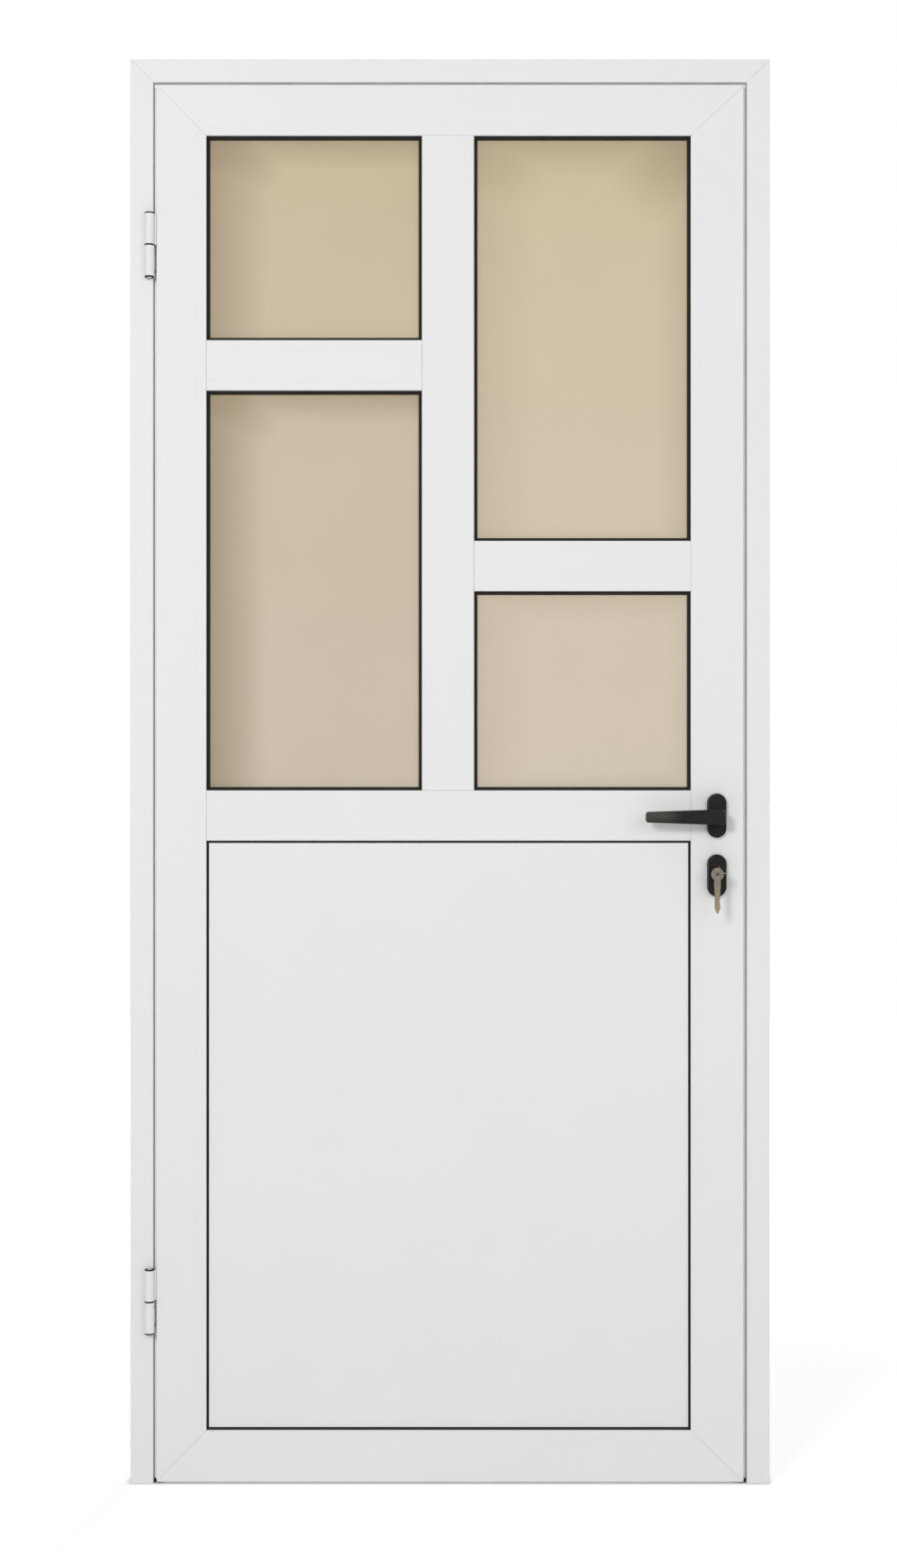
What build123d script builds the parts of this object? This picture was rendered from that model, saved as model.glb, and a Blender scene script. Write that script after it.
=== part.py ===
"""Glazed aluminium door: a leaf on two barrel hinges in a three-sided frame. Millimetres.

X runs right along the wall, Y into the door (the front faces -Y), Z up. The origin is on the
outer side face of the hinge jamb, at mid depth of the frame and at floor level.
"""
import os
from math import hypot

from build123d import *

os.makedirs("parts", exist_ok=True)

# Frame
FRAME_WIDTH = 943
FRAME_HEIGHT = 2100
FRAME_DEPTH = 50
FRAME_FACE = 33.5
STOP_PROJECTION = 15
REBATE_DEPTH = 12
WALL = 2
ARRIS = 1.5
JOINT_GAP = 0.3
CUT_PAST = 1
FIXING_R = 5.25
FIXING_END = 150
FIXING_SPACING = 600
FRONT = -FRAME_DEPTH / 2
BACK = FRAME_DEPTH / 2

# Leaf
LEAF_GAP = 5
FLOOR_GAP = 2.5
LEAF_DEPTH = 45
HINGE_STILE_FACE = 73.2
LOCK_STILE_FACE = 77.5
TOP_RAIL_FACE = 73.5
BOTTOM_RAIL_FACE = 75.5
OUTER_LIP = 17
OUTER_LIP_DEPTH = 7
GLAZING_LIP = 14
LIP_DEPTH = 5
GROOVE = 0.6
LEAF_ARRIS = 0.8
LEAF_BACK = FRONT + LEAF_DEPTH
LEAF_LEFT = FRAME_FACE + LEAF_GAP
LEAF_RIGHT = FRAME_WIDTH - LEAF_LEFT
LEAF_TOP = FRAME_HEIGHT - LEAF_LEFT
LEAF_WIDTH = LEAF_RIGHT - LEAF_LEFT
LEAF_HEIGHT = LEAF_TOP - FLOOR_GAP

# Bars that divide the leaf
BAR_FACE = 74
MULLION_FACE = 76.8
MID_RAIL_Z = 985
LEFT_TRANSOM_Z = 1649
RIGHT_TRANSOM_Z = 1353
MULLION_SHIFT = 3
MULLION_X = FRAME_WIDTH / 2 - MULLION_SHIFT

# Infill: depths are measured back from the leaf's face
EDGE_COVER = 10
GLASS_FRONT = 11
PANEL_FRONT = 7
INFILL_BACK = 17
BEAD_FRONT = 20
BEAD_WALL = 1.5
GLASS_GASKET = 5
PANEL_GASKET = 3.6
GASKET_STEP = 0.5
GASKET_EDGE = 1.5
PANEL_GASKET_EDGE = 0.5
BACK_GASKET = 2
SEAL_HEIGHT = 4.5
SEAL_WIDTH = 8
SEAL_INSET = 1
SEAL_END = 6
SEAL_ROUND = 1.5

# Hinges
HINGE_X = 29
HINGE_STAND_OFF = 8
HINGE_Y = FRONT - HINGE_STAND_OFF
UPPER_HINGE_DROP = 275.5
UPPER_HINGE_Z = FRAME_HEIGHT - UPPER_HINGE_DROP
LOWER_HINGE_Z = 270
HINGE_LEVELS = {"upper": UPPER_HINGE_Z, "lower": LOWER_HINGE_Z}
HINGE_LENGTH = 96
BARREL_R = 7
WASHER = 2.6
WASHER_R = 6.9
PIN_R = 4
PIN_PLAY = 0.08
END_RING = 2.2
END_RING_R = 6.8
PLATE = 2
PLATE_IN = 6.5
WEB = 3.5
WEB_CLEAR = 0.5

# Handle set and lock
BACKSET = 40
HANDLE_X = LEAF_RIGHT - BACKSET
HANDLE_Z = 985
LOCK_CENTRES = 85
PLUG_Z = HANDLE_Z - LOCK_CENTRES
ROSE_WIDTH = 28
ROSE_HEIGHT = 65
ROSE_DEPTH = 9
NECK_R = 9
NECK_PLAY = 0.08
NECK_START = 2
LEVER_BACK = 28
LEVER_FRONT = 39.5
LEVER_REACH = 107
HUB_RIGHT = 10.4
HUB_HEIGHT = 23.2
HUB_CORNER = 6
ARM_HEIGHT = 22
ARM_DROP = 2
TIP_HEIGHT = 15.6
TIP_CORNER = 4
LEVER_EDGE = 3
LEVER_BACK_EDGE = 1.5
SPINDLE = 8
SPINDLE_IN = 18
SPINDLE_PLAY = 0.1
SPINDLE_HOLE_R = 12
PLATE_HEIGHT = 62
PLATE_DROP = 3.1
PLATE_DEPTH = 10
PLATE_EDGE = 1.5
CYLINDER_R = 8.5
CYLINDER_LEG = 10
CYLINDER_HEIGHT = 33
CYLINDER_PROUD = 2
CYLINDER_PLAY = 0.2
PLUG_R = 6.5
PLUG_PLAY = 0.06
PLUG_LENGTH = 31
PLUG_GROOVE = 0.5

# Keys
KEY_THICK = 2.2
BLADE_HEIGHT = 7.6
BLADE_IN = 26
KEYWAY_PLAY = 0.1
SHOULDER = 9.8
BOW_R = 11.5
BOW_OVERLAP = 1
BOW_HOLE_R = 2.2
BOW_HOLE_OUT = 7.9
BOW_HOLE_RISE = 2.65
RING_SIDE = 2.4
RING_FORWARD = 5.5
RING_R = hypot(RING_SIDE, RING_FORWARD)
WIRE_R = 0.7
WIRE_SIDES = 6
SPARE_BOW_R = 9.1
SPARE_HOLE_R = 2.2
SPARE_BLADE = 8.1
SPARE_LENGTH = 57
SPARE_POINT = 8
SPARE_TIP = 2.6
BOW_RIM = 1.5
BOW_SINK = 0.4
BIT_DEPTHS = (1.2, 1.9, 0.9, 1.6, 1.1)
BIT_SPACING = 4.2
BIT_START = 14
KEY_GROOVE = 1.6
KEY_GROOVE_DEPTH = 0.6
KEY_GROOVE_SIDE = 1.2
HANG_PLAY = 0.05
RING_PLAY = 0.3

# Lock plates on the closing edges
LOCK_PLATE_WIDTH = 20
LOCK_PLATE_END = 55
BOLT_WIDTH = 12
LATCH_HEIGHT = 20
BOLT_HEIGHT = 32
BOLT_PLAY = 0.3
BOLT_LENGTH = 12


def finish(piece, name):
    """Label a finished piece and write its file."""
    piece.part.label = name
    export_step(piece.part, f"parts/{name}.step")


def bar_plane(start, inward):
    """Plane of a bar's section: local x runs inward from its edge, local y runs back."""
    inward = Vector(inward)
    return Plane(origin=start, x_dir=inward, z_dir=inward.cross(Vector(0, 1, 0)))


def mitre_plane(plane, along, side, slope=1):
    """The mitre at a bar's start (side -1) or end (side 1); slope is the other bar's face over its own."""
    origin = plane.from_local_coords(Vector(0, 0, along - side * JOINT_GAP / 2))
    normal = plane.x_dir * side * slope + plane.z_dir
    return Plane(origin=origin, z_dir=normal)


def frame_section(plane):
    """Hollow frame profile with its stop behind the rebate."""
    rebate = FRONT + REBATE_DEPTH
    inner = FRAME_FACE + STOP_PROJECTION
    with BuildSketch(plane) as section:
        Polygon((0, FRONT), (FRAME_FACE, FRONT), (FRAME_FACE, rebate), (inner, rebate),
                (inner, BACK), (0, BACK), align=None)
        offset(amount=-WALL, kind=Kind.INTERSECTION, mode=Mode.SUBTRACT)
        fillet(section.vertices().group_by(Axis.Y)[0], ARRIS)
    return section.sketch


def leaf_section(plane, face):
    """Hollow leaf profile: outer lip over the stop, box, and glazing lip at the front."""
    box_end = face - GLAZING_LIP
    lip_back = FRONT + OUTER_LIP_DEPTH
    with BuildSketch(plane) as section:
        Polygon((0, FRONT), (face, FRONT), (face, FRONT + LIP_DEPTH),
                (box_end, FRONT + LIP_DEPTH), (box_end, LEAF_BACK), (OUTER_LIP, LEAF_BACK),
                (OUTER_LIP, lip_back), (0, lip_back), align=None)
        fillet(section.vertices().group_by(Axis.Y)[0], LEAF_ARRIS)
        Polygon((WALL, FRONT + WALL), (box_end - WALL, FRONT + WALL),
                (box_end - WALL, LEAF_BACK - WALL), (OUTER_LIP + WALL, LEAF_BACK - WALL),
                (OUTER_LIP + WALL, lip_back - WALL), (WALL, lip_back - WALL),
                align=None, mode=Mode.SUBTRACT)
        with Locations((box_end, FRONT)):
            Rectangle(GROOVE, GROOVE, mode=Mode.SUBTRACT)
    return section.sketch


def bar_section(plane, width):
    """Hollow T-shaped bar with a glazing lip on both sides."""
    face = width / 2
    box = face - GLAZING_LIP
    lip = FRONT + LIP_DEPTH
    with BuildSketch(plane) as section:
        Polygon((-face, FRONT), (face, FRONT), (face, lip), (box, lip), (box, LEAF_BACK),
                (-box, LEAF_BACK), (-box, lip), (-face, lip), align=None)
        fillet(section.vertices().group_by(Axis.Y)[0], LEAF_ARRIS)
        with Locations((0, (FRONT + LEAF_BACK) / 2)):
            Rectangle(2 * (box - WALL), LEAF_DEPTH - 2 * WALL, mode=Mode.SUBTRACT)
        with Locations((-box, FRONT), (box, FRONT)):
            Rectangle(GROOVE, GROOVE, mode=Mode.SUBTRACT)
    return section.sketch


def block(x0, x1, y0, y1, z0, z1, mode=Mode.ADD):
    """A box between the given limits, inside the part that calls it."""
    with Locations(((x0 + x1) / 2, (y0 + y1) / 2, (z0 + z1) / 2)):
        Box(x1 - x0, y1 - y0, z1 - z0, mode=mode)


def facing(y):
    """Plane seen from the front at depth y: local x is X, local y is Z, extrudes forward."""
    return Plane(origin=(0, y, 0), x_dir=(1, 0, 0), z_dir=(0, -1, 0))


# Frame
hinge_side = bar_plane((0, 0, 0), (1, 0, 0))
lock_side = bar_plane((FRAME_WIDTH, 0, FRAME_HEIGHT), (-1, 0, 0))
head_side = bar_plane((0, 0, FRAME_HEIGHT), (0, 0, -1))


def fixing_holes(x):
    """Holes for the wall fixings through a jamb and its stop, whose low side is at x."""
    fixing_y = (FRONT + REBATE_DEPTH + BACK) / 2
    middle = FRAME_HEIGHT / 2
    levels = (FIXING_END, middle - FIXING_SPACING / 2, middle + FIXING_SPACING / 2,
              FRAME_HEIGHT - FIXING_END)
    with BuildSketch(Plane.YZ.offset(x)) as holes:
        with Locations(*[(fixing_y, level) for level in levels]):
            Circle(FIXING_R)
    extrude(holes.sketch, amount=FRAME_FACE + STOP_PROJECTION, mode=Mode.SUBTRACT)


with BuildPart() as hinge_jamb:
    extrude(frame_section(hinge_side), amount=FRAME_HEIGHT)
    split(bisect_by=mitre_plane(hinge_side, FRAME_HEIGHT, 1), keep=Keep.BOTTOM)
    fixing_holes(0)
finish(hinge_jamb, "hinge_jamb")

strike_x = FRAME_WIDTH - FRAME_FACE - STOP_PROJECTION
bolt_y = (FRONT + REBATE_DEPTH + LEAF_BACK) / 2
latch_z = HANDLE_Z
bolt_z = PLUG_Z
plate_low = bolt_z - BOLT_HEIGHT / 2 - LOCK_PLATE_END
plate_high = latch_z + LATCH_HEIGHT / 2 + LOCK_PLATE_END


def bolt_windows(x0, x1, y, play):
    """Cut the latch and bolt holes through a lock plate."""
    half = BOLT_WIDTH / 2 + play
    for level, height in ((latch_z, LATCH_HEIGHT), (bolt_z, BOLT_HEIGHT)):
        rise = height / 2 + play
        block(x0, x1, y - half, y + half, level - rise, level + rise, Mode.SUBTRACT)


with BuildPart() as lock_jamb:
    extrude(frame_section(lock_side), amount=FRAME_HEIGHT)
    split(bisect_by=mitre_plane(lock_side, 0, -1), keep=Keep.TOP)
    fixing_holes(strike_x)
    block(strike_x - CUT_PAST, strike_x + WALL, bolt_y - LOCK_PLATE_WIDTH / 2 - CYLINDER_PLAY,
          bolt_y + LOCK_PLATE_WIDTH / 2 + CYLINDER_PLAY, plate_low - CYLINDER_PLAY,
          plate_high + CYLINDER_PLAY, Mode.SUBTRACT)
finish(lock_jamb, "lock_jamb")

with BuildPart() as frame_head:
    extrude(frame_section(head_side), amount=FRAME_WIDTH)
    split(bisect_by=mitre_plane(head_side, 0, -1), keep=Keep.TOP)
    split(bisect_by=mitre_plane(head_side, FRAME_WIDTH, 1), keep=Keep.BOTTOM)
finish(frame_head, "frame_head")

# Bulb seal on the front of the stop, in three runs, with a plug at each foot
seal_in = FRAME_FACE + SEAL_INSET + SEAL_WIDTH / 2
seal_foot = FRONT + REBATE_DEPTH
seal_top = FRAME_HEIGHT - seal_in - SEAL_WIDTH / 2 - JOINT_GAP


def seal_run(plane, length):
    """One run of the bulb seal along the plane's normal, inside the part that calls it."""
    with BuildSketch(plane) as section:
        with Locations((0, -SEAL_HEIGHT / 2)):
            RectangleRounded(SEAL_WIDTH, SEAL_HEIGHT, SEAL_ROUND)
    extrude(section.sketch, amount=length)


seal_sides = ((seal_in, 1), (FRAME_WIDTH - seal_in, -1))
with BuildPart() as frame_seal:
    for x, inward in seal_sides:
        start_z = SEAL_END + JOINT_GAP if inward > 0 else seal_top
        seal_run(bar_plane((x, seal_foot, start_z), (inward, 0, 0)), seal_top - SEAL_END - JOINT_GAP)
    head_run = bar_plane((seal_in - SEAL_WIDTH / 2, seal_foot, FRAME_HEIGHT - seal_in), (0, 0, -1))
    seal_run(head_run, FRAME_WIDTH - 2 * seal_in + SEAL_WIDTH)
finish(frame_seal, "frame_seal")

with BuildPart() as seal_plugs:
    for x, inward in seal_sides:
        start_z = 0 if inward > 0 else SEAL_END
        seal_run(bar_plane((x, seal_foot, start_z), (inward, 0, 0)), SEAL_END)
finish(seal_plugs, "seal_plugs")

with BuildPart() as strike_plate:
    block(strike_x, strike_x + WALL, bolt_y - LOCK_PLATE_WIDTH / 2,
          bolt_y + LOCK_PLATE_WIDTH / 2, plate_low, plate_high)
    bolt_windows(strike_x, strike_x + WALL, bolt_y, BOLT_PLAY)
finish(strike_plate, "strike_plate")

# Leaf frame, mitred all round
leaf_hinge_side = bar_plane((LEAF_LEFT, 0, FLOOR_GAP), (1, 0, 0))
leaf_lock_side = bar_plane((LEAF_RIGHT, 0, LEAF_TOP), (-1, 0, 0))
leaf_top_side = bar_plane((LEAF_LEFT, 0, LEAF_TOP), (0, 0, -1))
leaf_bottom_side = bar_plane((LEAF_RIGHT, 0, FLOOR_GAP), (0, 0, 1))
box_edge_x = LEAF_RIGHT - OUTER_LIP


def euro_outline(play):
    """Profile cylinder outline, inside the sketch that calls it."""
    leg_r = CYLINDER_LEG / 2
    leg_z = PLUG_Z + CYLINDER_R - CYLINDER_HEIGHT + leg_r
    with Locations((HANDLE_X, PLUG_Z)):
        Circle(CYLINDER_R + play)
    with Locations((HANDLE_X, leg_z)):
        Circle(leg_r + play)
    with Locations((HANDLE_X, (PLUG_Z + leg_z) / 2)):
        Rectangle(CYLINDER_LEG + 2 * play, PLUG_Z - leg_z)


def leaf_member(plane, length, face, start_face, end_face):
    """Extrude one member of the leaf frame and mitre it to its neighbours' faces."""
    extrude(leaf_section(plane, face), amount=length)
    split(bisect_by=mitre_plane(plane, 0, -1, start_face / face), keep=Keep.TOP)
    split(bisect_by=mitre_plane(plane, length, 1, end_face / face), keep=Keep.BOTTOM)


with BuildPart() as hinge_stile:
    leaf_member(leaf_hinge_side, LEAF_HEIGHT, HINGE_STILE_FACE, BOTTOM_RAIL_FACE, TOP_RAIL_FACE)
finish(hinge_stile, "hinge_stile")

with BuildPart() as lock_stile:
    leaf_member(leaf_lock_side, LEAF_HEIGHT, LOCK_STILE_FACE, TOP_RAIL_FACE, BOTTOM_RAIL_FACE)
    with BuildSketch(facing(BACK)):
        with Locations((HANDLE_X, HANDLE_Z)):
            Circle(SPINDLE_HOLE_R)
        euro_outline(CYLINDER_PLAY)
    extrude(amount=FRAME_DEPTH + CUT_PAST, mode=Mode.SUBTRACT)
    block(box_edge_x - WALL, box_edge_x + CUT_PAST,
          bolt_y - LOCK_PLATE_WIDTH / 2 - CYLINDER_PLAY,
          bolt_y + LOCK_PLATE_WIDTH / 2 + CYLINDER_PLAY, plate_low - CYLINDER_PLAY,
          plate_high + CYLINDER_PLAY, Mode.SUBTRACT)
finish(lock_stile, "lock_stile")

with BuildPart() as top_rail:
    leaf_member(leaf_top_side, LEAF_WIDTH, TOP_RAIL_FACE, HINGE_STILE_FACE, LOCK_STILE_FACE)
finish(top_rail, "top_rail")

with BuildPart() as bottom_rail:
    leaf_member(leaf_bottom_side, LEAF_WIDTH, BOTTOM_RAIL_FACE, LOCK_STILE_FACE, HINGE_STILE_FACE)
finish(bottom_rail, "bottom_rail")

# Sight lines of the openings
FIELD_LEFT = LEAF_LEFT + HINGE_STILE_FACE
FIELD_RIGHT = LEAF_RIGHT - LOCK_STILE_FACE
FIELD_TOP = LEAF_TOP - TOP_RAIL_FACE
FIELD_BOTTOM = FLOOR_GAP + BOTTOM_RAIL_FACE
HALF_BAR = BAR_FACE / 2
MID_TOP = MID_RAIL_Z + HALF_BAR
MULLION_LEFT = MULLION_X - MULLION_FACE / 2
MULLION_RIGHT = MULLION_X + MULLION_FACE / 2


def dividing_bar(centre, across, length, width=BAR_FACE):
    """A bar between sight lines, end-milled over its neighbours' lips."""
    plane = bar_plane(centre, across)
    reach = GLAZING_LIP - JOINT_GAP
    start = plane.offset(-reach)
    extrude(bar_section(start, width), amount=length + 2 * reach)
    for end in (0, length):
        milled = plane.offset(end - JOINT_GAP if end else -2 * GLAZING_LIP + JOINT_GAP)
        with BuildSketch(milled) as cut:
            with Locations((0, FRONT)):
                Rectangle(2 * width, 2 * (LIP_DEPTH + JOINT_GAP))
        extrude(cut.sketch, amount=2 * GLAZING_LIP, mode=Mode.SUBTRACT)


with BuildPart() as mid_rail:
    dividing_bar((FIELD_LEFT, 0, MID_RAIL_Z), (0, 0, -1), FIELD_RIGHT - FIELD_LEFT)
finish(mid_rail, "mid_rail")

with BuildPart() as mullion:
    dividing_bar((MULLION_X, 0, MID_TOP), (1, 0, 0), FIELD_TOP - MID_TOP, MULLION_FACE)
finish(mullion, "mullion")

with BuildPart() as left_transom:
    dividing_bar((FIELD_LEFT, 0, LEFT_TRANSOM_Z), (0, 0, -1), MULLION_LEFT - FIELD_LEFT)
finish(left_transom, "left_transom")

with BuildPart() as right_transom:
    dividing_bar((MULLION_RIGHT, 0, RIGHT_TRANSOM_Z), (0, 0, -1), FIELD_RIGHT - MULLION_RIGHT)
finish(right_transom, "right_transom")

# Panes, lower panel, gaskets and glazing beads
OPENINGS = {
    "upper_left": (FIELD_LEFT, MULLION_LEFT, LEFT_TRANSOM_Z + HALF_BAR, FIELD_TOP),
    "lower_left": (FIELD_LEFT, MULLION_LEFT, MID_TOP, LEFT_TRANSOM_Z - HALF_BAR),
    "upper_right": (MULLION_RIGHT, FIELD_RIGHT, RIGHT_TRANSOM_Z + HALF_BAR, FIELD_TOP),
    "lower_right": (MULLION_RIGHT, FIELD_RIGHT, MID_TOP, RIGHT_TRANSOM_Z - HALF_BAR),
    "panel": (FIELD_LEFT, FIELD_RIGHT, FIELD_BOTTOM, MID_RAIL_Z - HALF_BAR),
}


def opening_rectangle(opening, grow):
    """The opening's rectangle grown on all sides, inside the sketch that calls it."""
    x0, x1, z0, z1 = opening
    with Locations(((x0 + x1) / 2, (z0 + z1) / 2)):
        Rectangle(x1 - x0 + 2 * grow, z1 - z0 + 2 * grow)


def bead_run(plane, length):
    """One hollow bead along the plane's normal, inside the part that calls it."""
    deep = LEAF_DEPTH - BEAD_FRONT
    with BuildSketch(plane) as section:
        with Locations((GLAZING_LIP / 2, deep / 2)):
            Rectangle(GLAZING_LIP, deep)
            Rectangle(GLAZING_LIP - 2 * BEAD_WALL, deep - 2 * BEAD_WALL, mode=Mode.SUBTRACT)
    extrude(section.sketch, amount=length)


for place, opening in OPENINGS.items():
    x0, x1, z0, z1 = opening
    is_panel = place == "panel"
    infill_front = PANEL_FRONT if is_panel else GLASS_FRONT
    cover = PANEL_GASKET if is_panel else GLASS_GASKET
    edge = PANEL_GASKET_EDGE if is_panel else GASKET_EDGE

    with BuildPart() as infill:
        with BuildSketch(facing(FRONT + INFILL_BACK)):
            opening_rectangle(opening, EDGE_COVER)
        extrude(amount=INFILL_BACK - infill_front)
    finish(infill, "lower_panel" if is_panel else f"{place}_pane")

    with BuildPart() as gasket:
        with BuildSketch(facing(FRONT + infill_front)):
            opening_rectangle(opening, EDGE_COVER)
        extrude(amount=infill_front - LIP_DEPTH)
        with BuildSketch(facing(FRONT + infill_front)):
            opening_rectangle(opening, -cover)
        extrude(amount=edge, mode=Mode.SUBTRACT)
        with BuildSketch(facing(FRONT + infill_front - edge)):
            opening_rectangle(opening, -cover)
        with BuildSketch(facing(FRONT + LIP_DEPTH)):
            opening_rectangle(opening, -GASKET_STEP)
        loft(mode=Mode.SUBTRACT)
        with BuildSketch(facing(FRONT + BEAD_FRONT)):
            opening_rectangle(opening, EDGE_COVER)
            with Locations(((x0 + x1) / 2, (z0 + z1) / 2)):
                Rectangle(x1 - x0 - 2 * BACK_GASKET, z1 - z0 - 2 * BACK_GASKET,
                          mode=Mode.SUBTRACT)
        extrude(amount=BEAD_FRONT - INFILL_BACK)
    finish(gasket, f"{place}_gasket")

    with BuildPart() as beads:
        bead_y = FRONT + BEAD_FRONT
        left, right = x0 - GLAZING_LIP, x1 + GLAZING_LIP
        low, high = z0 - GLAZING_LIP, z1 + GLAZING_LIP
        bead_run(bar_plane((left, bead_y, high), (0, 0, -1)), right - left)
        bead_run(bar_plane((right, bead_y, low), (0, 0, 1)), right - left)
        bead_run(bar_plane((left, bead_y, z0 + JOINT_GAP), (1, 0, 0)), z1 - z0 - 2 * JOINT_GAP)
        bead_run(bar_plane((right, bead_y, z1 - JOINT_GAP), (-1, 0, 0)), z1 - z0 - 2 * JOINT_GAP)
    finish(beads, f"{place}_beads")

# Barrel hinges: the frame knuckle carries the pin, the leaf knuckle sits on top of it
KNUCKLE = (HINGE_LENGTH - WASHER) / 2 - END_RING
web_back = FRONT - WEB_CLEAR


def hinge_disc(z, height, outer, inner=0, mode=Mode.ADD):
    """A disc or ring round the hinge axis, inside the part that calls it."""
    with BuildSketch(Plane.XY.offset(z)) as disc:
        with Locations((HINGE_X, HINGE_Y)):
            Circle(outer)
            if inner:
                Circle(inner, mode=Mode.SUBTRACT)
    extrude(disc.sketch, amount=height, mode=mode)


for level, centre_z in HINGE_LEVELS.items():
    foot_z = centre_z - HINGE_LENGTH / 2
    low_z = foot_z + END_RING
    high_z = centre_z + WASHER / 2

    with BuildPart() as frame_knuckle:
        block(FRAME_FACE, FRAME_FACE + PLATE, HINGE_Y, FRONT + PLATE_IN, low_z, low_z + KNUCKLE)
        hinge_disc(low_z, KNUCKLE, BARREL_R)
        hinge_disc(foot_z, HINGE_LENGTH, PIN_R)
    finish(frame_knuckle, f"{level}_hinge_frame_knuckle")

    with BuildPart() as leaf_knuckle:
        block(LEAF_LEFT - PLATE, LEAF_LEFT, web_back - WEB, FRONT + PLATE_IN, high_z, high_z + KNUCKLE)
        block(HINGE_X, LEAF_LEFT, web_back - WEB, web_back, high_z, high_z + KNUCKLE)
        hinge_disc(high_z, KNUCKLE, BARREL_R)
        hinge_disc(high_z, KNUCKLE, PIN_R + PIN_PLAY, mode=Mode.SUBTRACT)
    finish(leaf_knuckle, f"{level}_hinge_leaf_knuckle")

with BuildPart() as hinge_washers:
    for centre_z in HINGE_LEVELS.values():
        hinge_disc(centre_z - WASHER / 2, WASHER - PIN_PLAY, WASHER_R, PIN_R + PIN_PLAY)
        hinge_disc(centre_z - HINGE_LENGTH / 2, END_RING, END_RING_R, PIN_R)
finish(hinge_washers, "hinge_washers")

with BuildPart() as hinge_top_rings:
    for centre_z in HINGE_LEVELS.values():
        hinge_disc(centre_z + HINGE_LENGTH / 2 - END_RING, END_RING, END_RING_R, PIN_R + PIN_PLAY)
finish(hinge_top_rings, "hinge_top_rings")

# Handle set: the same rosette, lever and lock plate on both faces
FACES = {"front": (FRONT, -1), "back": (LEAF_BACK, 1)}
arm_z = HANDLE_Z - ARM_DROP


def out_plane(face, out, distance):
    """Plane at a distance out from one face of the leaf, extruding outwards."""
    return Plane(origin=(0, face + out * distance, 0), x_dir=(-out, 0, 0), z_dir=(0, out, 0))


def on_leaf(x, out):
    """Local x on an outward plane for a world x."""
    return -out * x


for side, (face, out) in FACES.items():
    handle_u = on_leaf(HANDLE_X, out)

    with BuildPart() as rosette:
        with BuildSketch(out_plane(face, out, 0)):
            with Locations((handle_u, HANDLE_Z)):
                SlotOverall(ROSE_HEIGHT, ROSE_WIDTH, rotation=90)
                Circle(NECK_R + NECK_PLAY, mode=Mode.SUBTRACT)
        extrude(amount=ROSE_DEPTH)
        rim = rosette.faces().sort_by(Axis.Y)[0 if out < 0 else -1].outer_wire().edges()
        chamfer(rim, PLATE_EDGE)
    finish(rosette, f"{side}_rosette")

    with BuildPart() as lock_cover:
        with BuildSketch(out_plane(face, out, 0)):
            with Locations((handle_u, PLUG_Z - PLATE_DROP)):
                SlotOverall(PLATE_HEIGHT, ROSE_WIDTH, rotation=90)
        extrude(amount=PLATE_DEPTH)
        rim = lock_cover.faces().sort_by(Axis.Y)[0 if out < 0 else -1].outer_wire().edges()
        chamfer(rim, PLATE_EDGE)
        with BuildSketch(facing(face + PLATE_DEPTH + CUT_PAST)):
            euro_outline(CYLINDER_PLAY)
        extrude(amount=2 * (PLATE_DEPTH + CUT_PAST), mode=Mode.SUBTRACT)
    finish(lock_cover, f"{side}_escutcheon")

    with BuildPart() as lever:
        with BuildSketch(out_plane(face, out, LEVER_BACK)) as grip:
            hub_u = on_leaf(HANDLE_X + HUB_RIGHT, out)
            arm_u = on_leaf(HANDLE_X - HUB_RIGHT, out)
            tip_u = on_leaf(HANDLE_X - LEVER_REACH, out)
            Polygon((hub_u, arm_z - HUB_HEIGHT / 2), (arm_u, arm_z - ARM_HEIGHT / 2),
                    (tip_u, arm_z - TIP_HEIGHT / 2), (tip_u, arm_z + TIP_HEIGHT / 2),
                    (arm_u, arm_z + ARM_HEIGHT / 2), (hub_u, arm_z + HUB_HEIGHT / 2),
                    align=None)
            ends = grip.vertices().group_by(Axis.X)
            tip_end, hub_end = (ends[0], ends[-1]) if out < 0 else (ends[-1], ends[0])
            fillet(tip_end, TIP_CORNER)
            fillet(hub_end, HUB_CORNER)
        extrude(amount=LEVER_FRONT - LEVER_BACK)
        outer = lever.faces().sort_by(Axis.Y)[0 if out < 0 else -1]
        fillet(outer.edges(), LEVER_EDGE)
        inner = lever.faces().sort_by(Axis.Y)[-1 if out < 0 else 0]
        chamfer(inner.edges(), LEVER_BACK_EDGE)
        with BuildSketch(out_plane(face, out, NECK_START)):
            with Locations((handle_u, HANDLE_Z)):
                Circle(NECK_R)
        extrude(amount=LEVER_BACK + LEVER_EDGE - NECK_START)
        with BuildSketch(out_plane(face, out, NECK_START)):
            with Locations((handle_u, HANDLE_Z)):
                Rectangle(SPINDLE + 2 * SPINDLE_PLAY, SPINDLE + 2 * SPINDLE_PLAY)
        extrude(amount=SPINDLE_IN, mode=Mode.SUBTRACT)
    finish(lever, f"{side}_lever")

spindle_reach = NECK_START + SPINDLE_IN - SPINDLE_PLAY
with BuildPart() as spindle:
    block(HANDLE_X - SPINDLE / 2, HANDLE_X + SPINDLE / 2, FRONT - spindle_reach,
          LEAF_BACK + spindle_reach, HANDLE_Z - SPINDLE / 2, HANDLE_Z + SPINDLE / 2)
finish(spindle, "spindle")

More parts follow.
